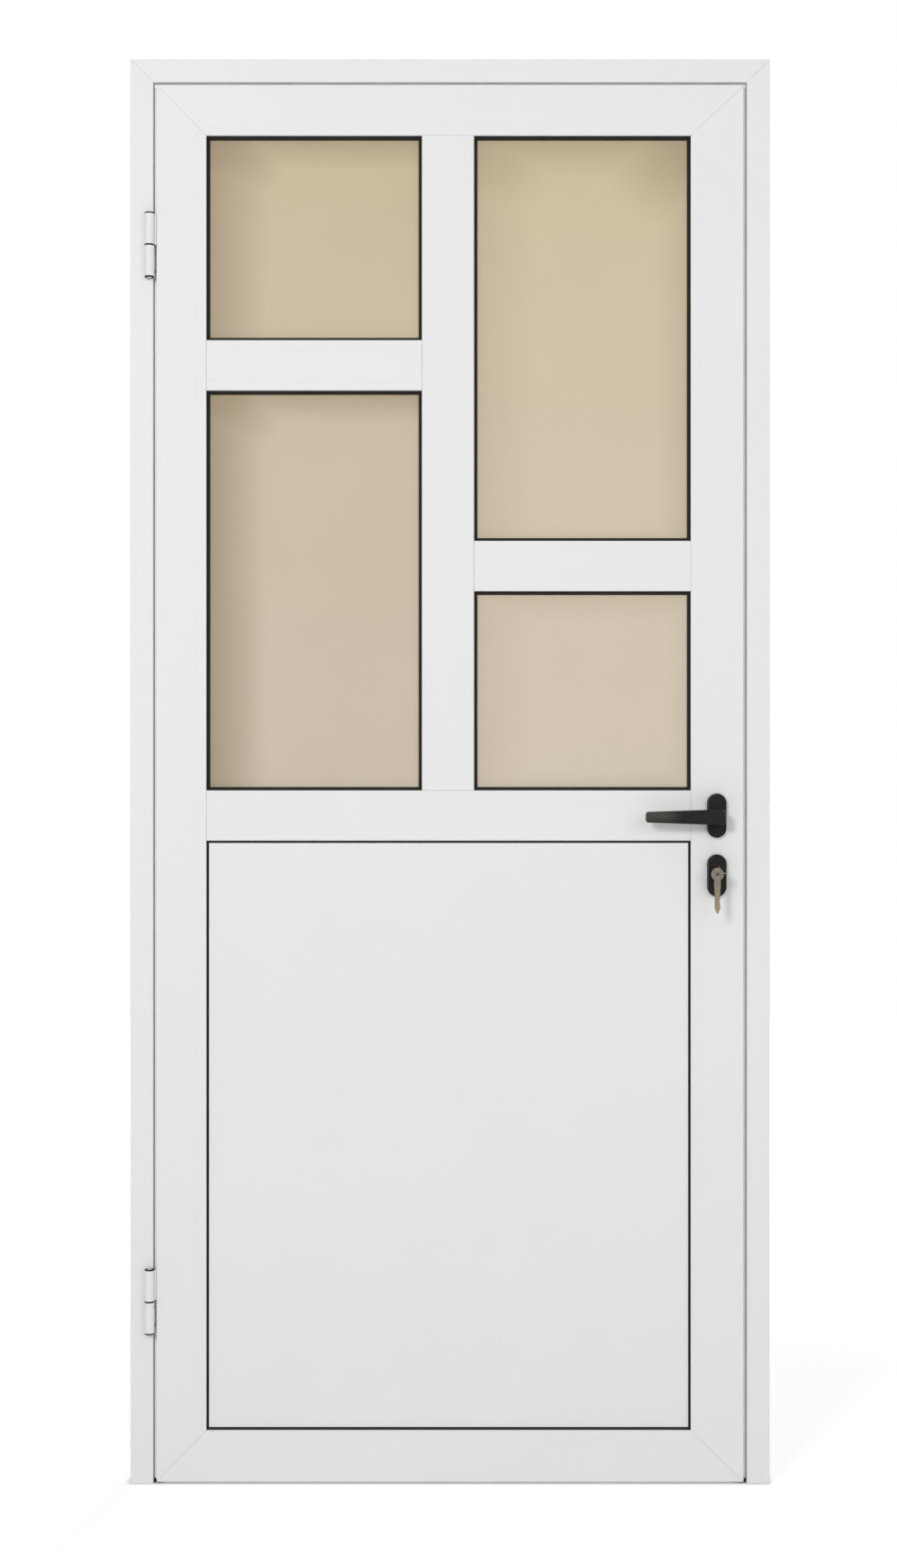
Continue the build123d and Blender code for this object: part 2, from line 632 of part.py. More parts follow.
# Lock: profile cylinder through the leaf, face plate and bolts on the closing edge
cylinder_front = FRONT - PLATE_DEPTH - CYLINDER_PROUD
cylinder_back = LEAF_BACK + PLATE_DEPTH + CYLINDER_PROUD
with BuildPart() as lock_cylinder:
    with BuildSketch(facing(cylinder_back)):
        euro_outline(0)
    extrude(amount=cylinder_back - cylinder_front)
    with BuildSketch(facing(cylinder_front + PLUG_LENGTH + PLUG_PLAY)):
        with Locations((HANDLE_X, PLUG_Z)):
            Circle(PLUG_R + PLUG_PLAY)
    extrude(amount=PLUG_LENGTH + CUT_PAST, mode=Mode.SUBTRACT)
    # The back end shows its own plug and keyway
    with BuildSketch(facing(cylinder_back + CUT_PAST)):
        with Locations((HANDLE_X, PLUG_Z)):
            Circle(PLUG_R + PLUG_GROOVE)
            Circle(PLUG_R, mode=Mode.SUBTRACT)
    extrude(amount=CUT_PAST + PLUG_GROOVE, mode=Mode.SUBTRACT)
    half_slot = KEY_THICK / 2 + KEYWAY_PLAY
    half_blade_slot = BLADE_HEIGHT / 2 + KEYWAY_PLAY
    block(HANDLE_X - half_slot, HANDLE_X + half_slot, cylinder_back - BLADE_IN,
          cylinder_back + CUT_PAST, PLUG_Z - half_blade_slot, PLUG_Z + half_blade_slot, Mode.SUBTRACT)
finish(lock_cylinder, "lock_cylinder")

with BuildPart() as lock_faceplate:
    block(box_edge_x - WALL, box_edge_x, bolt_y - LOCK_PLATE_WIDTH / 2,
          bolt_y + LOCK_PLATE_WIDTH / 2, plate_low, plate_high)
    bolt_windows(box_edge_x - WALL, box_edge_x, bolt_y, BOLT_PLAY)
finish(lock_faceplate, "lock_faceplate")

with BuildPart() as lock_bolts:
    for bolt_level, bolt_height in ((latch_z, LATCH_HEIGHT), (bolt_z, BOLT_HEIGHT)):
        block(box_edge_x - BOLT_LENGTH, box_edge_x, bolt_y - BOLT_WIDTH / 2,
              bolt_y + BOLT_WIDTH / 2, bolt_level - bolt_height / 2,
              bolt_level + bolt_height / 2)
finish(lock_bolts, "lock_bolts")

# Keys: one in the lock, edge-on, and a spare that hangs from its ring
bow_y = cylinder_front - SHOULDER - BOW_R + BOW_OVERLAP
hole_y = bow_y - BOW_HOLE_OUT
ring_x = HANDLE_X + RING_SIDE
ring_y = hole_y - RING_FORWARD
bow_hole_z = PLUG_Z + BOW_HOLE_RISE
ring_z = bow_hole_z - BOW_HOLE_R + WIRE_R + RING_PLAY
hang_x = ring_x - RING_R
half_key = KEY_THICK / 2

with BuildPart() as key_plug:
    with BuildSketch(facing(cylinder_front + PLUG_LENGTH)):
        with Locations((HANDLE_X, PLUG_Z)):
            Circle(PLUG_R)
    extrude(amount=PLUG_LENGTH)
    block(HANDLE_X - half_key - KEYWAY_PLAY, HANDLE_X + half_key + KEYWAY_PLAY,
          cylinder_front - CUT_PAST,
          cylinder_front + BLADE_IN + KEYWAY_PLAY, PLUG_Z - BLADE_HEIGHT / 2 - KEYWAY_PLAY,
          PLUG_Z + BLADE_HEIGHT / 2 + KEYWAY_PLAY, Mode.SUBTRACT)
finish(key_plug, "key_plug")

with BuildPart() as lock_key:
    with BuildSketch(Plane.YZ.offset(HANDLE_X - half_key)):
        with Locations(((bow_y + cylinder_front + BLADE_IN) / 2, PLUG_Z)):
            Rectangle(cylinder_front + BLADE_IN - bow_y, BLADE_HEIGHT)
        with Locations((bow_y, PLUG_Z)):
            Circle(BOW_R)
        with Locations((hole_y, bow_hole_z)):
            Circle(BOW_HOLE_R, mode=Mode.SUBTRACT)
    extrude(amount=KEY_THICK)
    for sink_x in (HANDLE_X - half_key - CUT_PAST, HANDLE_X + half_key - BOW_SINK):
        with BuildSketch(Plane.YZ.offset(sink_x)):
            with Locations((bow_y, PLUG_Z)):
                Circle(BOW_R - BOW_RIM)
            with Locations((hole_y, bow_hole_z)):
                Circle(BOW_HOLE_R + BOW_RIM, mode=Mode.SUBTRACT)
        extrude(amount=BOW_SINK + CUT_PAST, mode=Mode.SUBTRACT)
finish(lock_key, "lock_key")

with BuildPart() as key_ring:
    ring_plane = Plane(origin=(ring_x, ring_y, ring_z), x_dir=(1, 0, 0), z_dir=(0, -1, 0))
    with BuildSketch(ring_plane):
        with Locations((RING_R, 0)):
            RegularPolygon(WIRE_R, WIRE_SIDES)
    revolve(axis=Axis((ring_x, ring_y, ring_z), (0, 0, 1)))
finish(key_ring, "key_ring")

spare_hole_z = ring_z - SPARE_HOLE_R + WIRE_R + HANG_PLAY
spare_tip_z = spare_hole_z - SPARE_LENGTH
half_blade = SPARE_BLADE / 2
with BuildPart() as spare_key:
    with BuildSketch(facing(ring_y + half_key)):
        Polygon((hang_x - half_blade, spare_hole_z), (hang_x - half_blade, spare_tip_z + SPARE_POINT),
                (hang_x - SPARE_TIP / 2, spare_tip_z), (hang_x + SPARE_TIP / 2, spare_tip_z),
                (hang_x + half_blade, spare_tip_z + SPARE_POINT),
                (hang_x + half_blade, spare_hole_z), align=None)
        with Locations((hang_x, spare_hole_z)):
            Circle(SPARE_BOW_R)
            Circle(SPARE_HOLE_R, mode=Mode.SUBTRACT)
        cut_x = hang_x + half_blade + CUT_PAST
        for bit, depth in enumerate(BIT_DEPTHS):
            bit_z = spare_tip_z + BIT_START + bit * BIT_SPACING
            rise = depth + CUT_PAST
            Polygon((cut_x, bit_z - rise), (cut_x, bit_z + rise), (cut_x - rise, bit_z),
                    align=None, mode=Mode.SUBTRACT)
    extrude(amount=KEY_THICK)
    groove_x = hang_x - half_blade + KEY_GROOVE_SIDE
    block(groove_x, groove_x + KEY_GROOVE, ring_y - half_key, ring_y - half_key + KEY_GROOVE_DEPTH,
          spare_tip_z, spare_hole_z - SPARE_BOW_R, Mode.SUBTRACT)
    for sink_y in (ring_y - half_key + BOW_SINK, ring_y + half_key + CUT_PAST):
        with BuildSketch(facing(sink_y)):
            with Locations((hang_x, spare_hole_z)):
                Circle(SPARE_BOW_R - BOW_RIM)
                Circle(SPARE_HOLE_R + BOW_RIM, mode=Mode.SUBTRACT)
        extrude(amount=BOW_SINK + CUT_PAST, mode=Mode.SUBTRACT)
finish(spare_key, "spare_key")
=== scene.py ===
"""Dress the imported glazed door: finishes for its profiles, glass, handle set and keys, castings for
its levers, small screws, and a pale studio with the camera square-on to the closed leaf."""
import math

import bmesh
import bpy
from bpy.props import FloatProperty, FloatVectorProperty, PointerProperty
from mathutils import Euler, Matrix, Vector


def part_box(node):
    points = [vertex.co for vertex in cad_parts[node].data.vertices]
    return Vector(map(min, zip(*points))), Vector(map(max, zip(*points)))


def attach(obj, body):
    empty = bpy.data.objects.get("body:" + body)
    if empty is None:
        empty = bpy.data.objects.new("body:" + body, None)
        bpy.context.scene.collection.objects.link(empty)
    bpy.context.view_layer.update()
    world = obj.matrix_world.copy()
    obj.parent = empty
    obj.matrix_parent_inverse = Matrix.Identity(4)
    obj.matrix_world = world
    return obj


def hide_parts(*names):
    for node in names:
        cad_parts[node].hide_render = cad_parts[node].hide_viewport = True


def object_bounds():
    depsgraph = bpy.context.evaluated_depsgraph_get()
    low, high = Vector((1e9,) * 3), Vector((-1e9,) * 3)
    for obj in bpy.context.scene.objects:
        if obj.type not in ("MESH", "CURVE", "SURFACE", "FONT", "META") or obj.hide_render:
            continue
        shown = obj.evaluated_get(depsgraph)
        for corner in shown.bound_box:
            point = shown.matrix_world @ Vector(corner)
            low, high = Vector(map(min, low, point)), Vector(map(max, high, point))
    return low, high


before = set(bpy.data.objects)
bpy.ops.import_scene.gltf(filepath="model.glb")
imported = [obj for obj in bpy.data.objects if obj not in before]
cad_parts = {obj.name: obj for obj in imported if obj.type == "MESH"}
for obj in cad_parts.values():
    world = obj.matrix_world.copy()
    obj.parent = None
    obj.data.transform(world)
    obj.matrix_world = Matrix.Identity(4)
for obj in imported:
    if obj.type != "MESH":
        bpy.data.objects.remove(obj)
CAD_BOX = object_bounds()

bl_info = {
    "name": "Glazed Door Dresser",
    "version": (1, 0, 0),
    "blender": (4, 5, 0),
    "location": "View3D > Sidebar > Door",
    "description": "Finishes, lever castings, screws and studio for a packed glazed aluminium door",
    "category": "Object",
}

MM = 0.001
NECK_RADIUS = 9 * MM  # of the round neck between a lever and its rosette
NECK_SIDES = 48
CORNER_STEPS = 10  # facets of a lever's rounded corner
ROUND_STEPS = 6  # facets of the rounding along a lever's outer face
FACE_BORDER = 0.4 * MM
LEFT_BEVEL_HIGHLIGHT = (-0.66, -0.7, 0.28)  # which way the black castings' left bevels face, where a highlight is painted on them
HUB_RIM_HIGHLIGHT = (0.56, -0.7, 0.44)  # which way the rim of a lever's hub end faces, where a highlight is painted on it
SHARP_FROM = math.radians(32)  # edges of a lever that turn more than this stay sharp
SCREW_SIDES = 28
SCREW_SEED = 7
SCREW_RIM = 0.8  # radius at the top of a screw's head, as a share of its full radius
RECESS_LIFT = 0.8  # height of the recess cutter's middle, as a share of the head's height
PLATE_END_INSET = 11 * MM  # from the end of a lock plate to its screw
HINGE_END_INSET = 11 * MM  # from the end of a hinge plate to its screw
HINGE_BACK_INSET = 4.5 * MM  # from the back of a hinge plate to its screws
HINGE_PLATE = 2 * MM
JAMB_TO_LEAF_PLATE = 1 * MM  # between the faces of a hinge's two plates
GRUB_OUT = 9 * MM  # from a rosette's face to its lever's set screw
GLASS_LOW_Z, GLASS_HIGH_Z = 1.05, 2.0  # heights between which the tint of the glass changes
LEFT_SHADE, RIGHT_SHADE = 150 * MM, 85 * MM  # how far the painted shade along a pane's left and right edges reaches
TOP_SHADE, FOOT_SHADE = 90 * MM, 60 * MM  # how far the painted shade along its top and bottom reaches
CORNER_DEEP, CORNER_END = 20 * MM, 190 * MM  # where a corner's painted shade starts to fade, and ends
BLADE_Z, BOW_Z = 0.86, 0.895  # heights between which the wear of a hanging key changes
FLOOR_HALF = 7.0  # metres
NARROW = 8 * MM  # the floor's glow fades where something is this near above it
MELT_START, MELT_END = 1.0, 3.2  # metres from the door over which the floor melts into white
FLOOR_DROP = 0.5 * MM  # from the frame's feet to the floor
LIGHT_AIM = Vector((0.47, -0.02, 1.1))  # the middle of the door, which the lamps face

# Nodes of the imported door, grouped by what they are made of
WHITE_PROFILES = (
    "hinge_jamb", "lock_jamb", "frame_head", "hinge_stile", "lock_stile", "top_rail", "bottom_rail",
    "mid_rail", "mullion", "left_transom", "right_transom", "upper_left_beads", "lower_left_beads",
    "upper_right_beads", "lower_right_beads", "panel_beads", "upper_hinge_frame_knuckle",
    "lower_hinge_frame_knuckle", "upper_hinge_leaf_knuckle", "lower_hinge_leaf_knuckle",
)
# How deep each pane's tint is all over, and how deep the painted shade is along its left, right, top
# and bottom edges and in its upper left and upper right corners
PANES = {"upper_left_pane": (0.14, 0.8, 0.06, 0.68, 0.16, 0.95, 0.0),
         "lower_left_pane": (0.18, 0.89, 0.0, 0.74, 0.16, 1.0, 0.0),
         "upper_right_pane": (0.0, 0.28, 0.34, 0.58, 0.16, 0.55, 0.7),
         "lower_right_pane": (0.0, 0.24, 0.17, 0.25, 0.24, 0.2, 0.0)}
RUBBER = (
    "upper_left_gasket", "lower_left_gasket", "upper_right_gasket", "lower_right_gasket",
    "panel_gasket", "seal_plugs", "hinge_washers", "hinge_top_rings",
)
BLACK_FITTINGS = ("front_rosette", "back_rosette", "front_escutcheon", "back_escutcheon")
NICKEL_FITTINGS = ("lock_cylinder", "key_plug", "lock_key", "spare_key")
STEEL_FITTINGS = ("spindle", "strike_plate", "lock_faceplate", "lock_bolts", "key_ring")


def linear(code):
    """sRGB hex colour as a linear colour with alpha."""
    channels = []
    for start in (1, 3, 5):
        value = int(code[start:start + 2], 16) / 255
        channels.append(value / 12.92 if value <= 0.04045 else ((value + 0.055) / 1.055) ** 2.4)
    return (*channels, 1.0)


def colour_property(name, description, code):
    """A colour that a user may change, from its sRGB hex value."""
    return FloatVectorProperty(name=name, description=description, subtype="COLOR", size=4,
                               min=0.0, max=1.0, default=linear(code))


def length_property(name, description, size_mm):
    """A length that a user may change, from its size in millimetres."""
    return FloatProperty(name=name, description=description, unit="LENGTH", subtype="DISTANCE",
                         min=0.0, default=size_mm * MM)


def add_node(tree, kind, inputs=None, **settings):
    """Add a node, set its properties, and set or link its inputs."""
    made = tree.nodes.new(kind)
    for name, value in settings.items():
        setattr(made, name, value)
    for key, value in (inputs or {}).items():
        if isinstance(value, bpy.types.NodeSocket):
            tree.links.new(value, made.inputs[key])
        else:
            made.inputs[key].default_value = value
    return made


def new_material(name):
    """An empty node material, its tree, and the Object coordinates in metres."""
    material = bpy.data.materials.new(name)
    material.use_nodes = True
    tree = material.node_tree
    tree.nodes.clear()
    place = add_node(tree, "ShaderNodeTexCoord").outputs["Object"]
    return material, tree, place


def seen_rays(tree):
    """1 for rays that see a surface straight on, in a mirror or through glass, and 0 for its light."""
    rays = add_node(tree, "ShaderNodeLightPath").outputs
    mirrored = add_node(tree, "ShaderNodeMath", {
        0: rays["Is Camera Ray"], 1: rays["Is Glossy Ray"]}, operation="MAXIMUM")
    return add_node(tree, "ShaderNodeMath", {
        0: mirrored.outputs["Value"], 1: rays["Is Transmission Ray"]},
        operation="MAXIMUM").outputs["Value"]


def dress(nodes, material):
    """Give CAD nodes a finish through their own material slots."""
    for node in nodes:
        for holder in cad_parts[node].material_slots:
            holder.material = material


class DoorFinishes(bpy.types.PropertyGroup):
    """Colours of the door's finishes."""
    coat_light: colour_property("Coat", "Lighter tone of the white powder coat", "#EAEAEA")
    coat_dark: colour_property("Coat shade", "Darker tone of the white powder coat", "#E7E7E7")
    panel_light: colour_property("Panel", "Lighter tone of the lower panel", "#EAEAEA")
    panel_dark: colour_property("Panel shade", "Darker tone of the lower panel", "#E7E7E7")
    glass_high: colour_property("Glass", "Satin glass high on the leaf", "#D2C09F")
    glass_low: colour_property("Low glass", "Satin glass low on the leaf", "#D9CCB9")
    # The colour of the painted shade along the panes' edges and in their upper corners, where the
    # frame keeps the light off the glass
    glass_painted_shade: colour_property("Glass edge", "Satin glass in the shade of a frame", "#998869")
    rubber: colour_property("Rubber", "Gaskets, plugs and washers", "#1B1B1A")
    rubber_dust: colour_property("Rubber bloom", "Paler bloom on the black rubber", "#2B2B28")
    seal: colour_property("Seal", "Pale bulb seal on the frame", "#F6F6F4")
    seal_dust: colour_property("Seal dust", "Dusty places of the pale seal", "#EBEBE7")
    black: colour_property("Black coat", "Coat of the handle set", "#151514")
    # Paler coat where it is worn, and the colour of the painted sheen and painted highlights
    black_rub_and_highlight: colour_property("Rubbed black", "Handled places of the black coat", "#45433E")
    nickel: colour_property("Nickel", "Plating of the lock and keys", "#6C6961")
    brass: colour_property("Brass", "Brass that shows through the plating", "#8E7F65")
    steel: colour_property("Steel", "Lock plates, bolts, ring and screws", "#8C8C8A")


class DoorLevers(bpy.types.PropertyGroup):
    """Sizes of the lever castings."""
    hub_corner: length_property("Hub corner", "Radius of the corners at the hub's end", 6)
    tip_corner: length_property("Tip corner", "Radius of the corners at the tip", 4)
    face_round: length_property("Face round", "Rounding along the edge of the outer face", 3)
    back_bevel: length_property("Back bevel", "Bevel along the edge of the back", 1.5)
    arm_height: length_property("Arm height", "Height of the arm where it leaves the hub", 22)
    tip_height: length_property("Tip height", "Height of the arm at its tip", 15.6)
    thickness: length_property("Thickness", "Depth of the arm from its back to its face", 11.5)


class DoorScrews(bpy.types.PropertyGroup):
    """Sizes of the countersunk screws."""
    head_radius: length_property("Head radius", "Radius of a screw's head", 3.6)
    head_proud: length_property("Head proud", "How far a head stands above its plate", 0.5)
    recess_width: length_property("Recess width", "Width of one arm of the cross recess", 1.0)
    recess_length: length_property("Recess length", "Length of one arm of the cross recess", 4.2)
    grub_radius: length_property("Grub radius", "Radius of the set screw under a lever", 2.2)


class DoorStudio(bpy.types.PropertyGroup):
    """Camera and light of the studio."""
    lens: FloatProperty(name="Lens", description="Focal length of the camera",
                        subtype="DISTANCE_CAMERA", default=54.5)
    camera_place: FloatVectorProperty(name="Camera", description="Where the camera stands",
                                      subtype="XYZ", unit="LENGTH", default=(0.46925, -3.525, 1.0315))
    key_power: FloatProperty(name="Key light", description="Power of the light at upper left",
                             subtype="POWER", default=63.0)
    fill_power: FloatProperty(name="Fill light", description="Power of the large light at the right",
                              subtype="POWER", default=25.0)
    back_power: FloatProperty(name="Back light", description="Power of the light behind the door",
                              subtype="POWER", default=60.0)
    ambient: FloatProperty(name="Ambient", description="Strength of the even light all round",
                           default=0.46)
    floor: colour_property("Floor", "Pale studio floor", "#F7F7F7")


class DOOR_OT_coat_profiles(bpy.types.Operator):
    """Coat the frame, leaf, bars, beads and hinges with white powder coat"""
    bl_idname = "door.coat_profiles"
    bl_label = "Coat profiles"

    def execute(self, context):
        finish = context.scene.door_finishes
        # Powder-coated aluminium: the melted powder leaves a fine orange-peel skin, so the white is
        # even and satin, with highlights that break up softly
        material, tree, place = new_material("powder_coated_aluminium")
        cloud = add_node(tree, "ShaderNodeTexNoise", {"Vector": place, "Scale": 1 / (240 * MM)})
        # Real orange peel is about 1 mm across; drawn at 3 mm so that it shows
        peel = add_node(tree, "ShaderNodeTexNoise", {
            "Vector": place, "Scale": 1 / (3 * MM), "Detail": 3.0})
        colour = add_node(tree, "ShaderNodeMix", {
            0: cloud.outputs["Fac"], 6: finish.coat_dark, 7: finish.coat_light}, data_type="RGBA")
        gloss = add_node(tree, "ShaderNodeMapRange", {
            "Value": peel.outputs["Fac"], "To Min": 0.5, "To Max": 0.62})
        relief = add_node(tree, "ShaderNodeBump", {
            "Height": peel.outputs["Fac"], "Strength": 0.25, "Distance": 0.06 * MM})
        shader = add_node(tree, "ShaderNodeBsdfPrincipled", {
            "Base Color": colour.outputs[2], "Roughness": gloss.outputs["Result"],
            "Normal": relief.outputs["Normal"], "IOR": 1.5, "Specular IOR Level": 0.35})
        add_node(tree, "ShaderNodeOutputMaterial", {"Surface": shader.outputs["BSDF"]})
        dress(WHITE_PROFILES, material)
        return {"FINISHED"}


class DOOR_OT_coat_panel(bpy.types.Operator):
    """Coat the flat lower panel"""
    bl_idname = "door.coat_panel"
    bl_label = "Coat lower panel"

    def execute(self, context):
        finish = context.scene.door_finishes
        # Coil-coated sheet on a foam core: smoother than the profiles, and the thin sheet is never
        # quite flat, so its sheen wanders a little
        material, tree, place = new_material("coil_coated_panel_sheet")
        wave = add_node(tree, "ShaderNodeTexNoise", {
            "Vector": place, "Scale": 1 / (170 * MM), "Detail": 1.0})
        skin = add_node(tree, "ShaderNodeTexNoise", {
            "Vector": place, "Scale": 1 / (4 * MM), "Detail": 2.0})
        colour = add_node(tree, "ShaderNodeMix", {
            0: wave.outputs["Fac"], 6: finish.panel_dark, 7: finish.panel_light}, data_type="RGBA")
        gloss = add_node(tree, "ShaderNodeMapRange", {
            "Value": skin.outputs["Fac"], "To Min": 0.48, "To Max": 0.58})
        flatness = add_node(tree, "ShaderNodeBump", {
            "Height": wave.outputs["Fac"], "Strength": 0.3, "Distance": 0.6 * MM})
        shader = add_node(tree, "ShaderNodeBsdfPrincipled", {
            "Base Color": colour.outputs[2], "Roughness": gloss.outputs["Result"],
            "Normal": flatness.outputs["Normal"], "IOR": 1.5, "Specular IOR Level": 0.35})
        add_node(tree, "ShaderNodeOutputMaterial", {"Surface": shader.outputs["BSDF"]})
        dress(("lower_panel",), material)
        return {"FINISHED"}


class DOOR_OT_glaze_panes(bpy.types.Operator):
    """Give each pane its satin glass"""
    bl_idname = "door.glaze_panes"
    bl_label = "Glaze panes"

    def execute(self, context):
        finish = context.scene.door_finishes
        for pane, (all_over, left, right, top, bottom, left_corner, right_corner) in PANES.items():
            low, high = (Vector(corner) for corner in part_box(pane))
            # Acid-etched glass with a bronze tint: matt, nothing shows through it. It is warmer high
            # up, and painted with shade along its edges and in its upper corners, most at the left and
            # top, where the leaf keeps the light off it
            material, tree, place = new_material(f"satin_etched_glass_painted_shade_{pane}")
            spot = add_node(tree, "ShaderNodeSeparateXYZ", {"Vector": place})
            rise = add_node(tree, "ShaderNodeMapRange", {
                "Value": spot.outputs["Z"], "From Min": GLASS_LOW_Z, "From Max": GLASS_HIGH_Z})
            tint = add_node(tree, "ShaderNodeMix", {
                0: rise.outputs["Result"], 6: finish.glass_low, 7: finish.glass_high},
                data_type="RGBA")
            etch = add_node(tree, "ShaderNodeTexNoise", {
                "Vector": place, "Scale": 1 / (120 * MM), "Detail": 4.0})
            # The etch's random tone, deepened below by the painted shade along the edges and in the
            # corners
            depth = add_node(tree, "ShaderNodeMapRange", {
                "Value": etch.outputs["Fac"], "To Min": all_over, "To Max": all_over + 0.12})
            depth = depth.outputs["Result"]
            # Painted shade along each of the four edges
            for axis, edge, reach, shade in (
                ("X", low.x, LEFT_SHADE, left), ("X", high.x, -RIGHT_SHADE, right),
                ("Z", high.z, -TOP_SHADE, top), ("Z", low.z, FOOT_SHADE, bottom),
            ):
                near = add_node(tree, "ShaderNodeMapRange", {
                    "Value": spot.outputs[axis], "From Min": edge, "From Max": edge + reach,
                    "To Min": shade, "To Max": 0.0}, interpolation_type="SMOOTHSTEP")
                depth = add_node(tree, "ShaderNodeMath", {
                    0: depth, 1: near.outputs["Result"]}, operation="MAXIMUM").outputs["Value"]
            # Painted shade in the upper left and upper right corners
            for edge, shade in ((low.x, left_corner), (high.x, right_corner)):
                corner = add_node(tree, "ShaderNodeVectorMath", {
                    0: place, 1: (edge, low.y, high.z)}, operation="DISTANCE")
                near = add_node(tree, "ShaderNodeMapRange", {
                    "Value": corner.outputs["Value"], "From Min": CORNER_DEEP, "From Max": CORNER_END,
                    "To Min": shade, "To Max": 0.0}, interpolation_type="SMOOTHSTEP")
                depth = add_node(tree, "ShaderNodeMath", {
                    0: depth, 1: near.outputs["Result"]}, operation="MAXIMUM").outputs["Value"]
            # The glass darkened towards the colour of its painted shade
            colour = add_node(tree, "ShaderNodeMix", {
                0: depth, 6: tint.outputs[2], 7: finish.glass_painted_shade}, data_type="RGBA")
            # Etch pits are microns across; drawn at 2 mm so that the sheen shows a grain
            pits = add_node(tree, "ShaderNodeTexNoise", {
                "Vector": place, "Scale": 1 / (2 * MM), "Detail": 2.0})
            gloss = add_node(tree, "ShaderNodeMapRange", {
                "Value": pits.outputs["Fac"], "To Min": 0.46, "To Max": 0.56})
            relief = add_node(tree, "ShaderNodeBump", {
                "Height": pits.outputs["Fac"], "Strength": 0.1, "Distance": 0.03 * MM})
            shader = add_node(tree, "ShaderNodeBsdfPrincipled", {
                "Base Color": colour.outputs[2], "Roughness": gloss.outputs["Result"],
                "Normal": relief.outputs["Normal"], "IOR": 1.52, "Transmission Weight": 0.08})
            add_node(tree, "ShaderNodeOutputMaterial", {"Surface": shader.outputs["BSDF"]})
            dress((pane,), material)
        return {"FINISHED"}


class DOOR_OT_fit_seals(bpy.types.Operator):
    """Give the gaskets, plugs and washers black rubber, and the frame seal pale rubber"""
    bl_idname = "door.fit_seals"
    bl_label = "Fit seals"

    def execute(self, context):
        finish = context.scene.door_finishes
        # Extruded EPDM rubber: dull near-black with a pale, dusty bloom in patches
        material, tree, place = new_material("extruded_epdm_rubber")
        bloom = add_node(tree, "ShaderNodeTexNoise", {
            "Vector": place, "Scale": 1 / (30 * MM), "Detail": 3.0})
        colour = add_node(tree, "ShaderNodeMix", {
            0: bloom.outputs["Fac"], 6: finish.rubber, 7: finish.rubber_dust}, data_type="RGBA")
        grit = add_node(tree, "ShaderNodeTexNoise", {"Vector": place, "Scale": 1 / (1.5 * MM)})
        relief = add_node(tree, "ShaderNodeBump", {
            "Height": grit.outputs["Fac"], "Strength": 0.3, "Distance": 0.05 * MM})
        gloss = add_node(tree, "ShaderNodeMapRange", {
            "Value": bloom.outputs["Fac"], "To Min": 0.58, "To Max": 0.74})
        shader = add_node(tree, "ShaderNodeBsdfPrincipled", {
            "Base Color": colour.outputs[2], "Roughness": gloss.outputs["Result"],
            "Normal": relief.outputs["Normal"], "IOR": 1.5, "Specular IOR Level": 0.15})
        add_node(tree, "ShaderNodeOutputMaterial", {"Surface": shader.outputs["BSDF"]})
        dress(RUBBER, material)

        # Pale grey TPE bulb seal: dull, and dusty in patches
        material, tree, place = new_material("pale_tpe_bulb_seal")
        dust = add_node(tree, "ShaderNodeTexNoise", {
            "Vector": place, "Scale": 1 / (45 * MM), "Detail": 4.0})
        colour = add_node(tree, "ShaderNodeMix", {
            0: dust.outputs["Fac"], 6: finish.seal, 7: finish.seal_dust}, data_type="RGBA")
        gloss = add_node(tree, "ShaderNodeMapRange", {
            "Value": dust.outputs["Fac"], "To Min": 0.55, "To Max": 0.75})
        shader = add_node(tree, "ShaderNodeBsdfPrincipled", {
            "Base Color": colour.outputs[2], "Roughness": gloss.outputs["Result"], "IOR": 1.5})
        add_node(tree, "ShaderNodeOutputMaterial", {"Surface": shader.outputs["BSDF"]})
        dress(("frame_seal",), material)
        return {"FINISHED"}


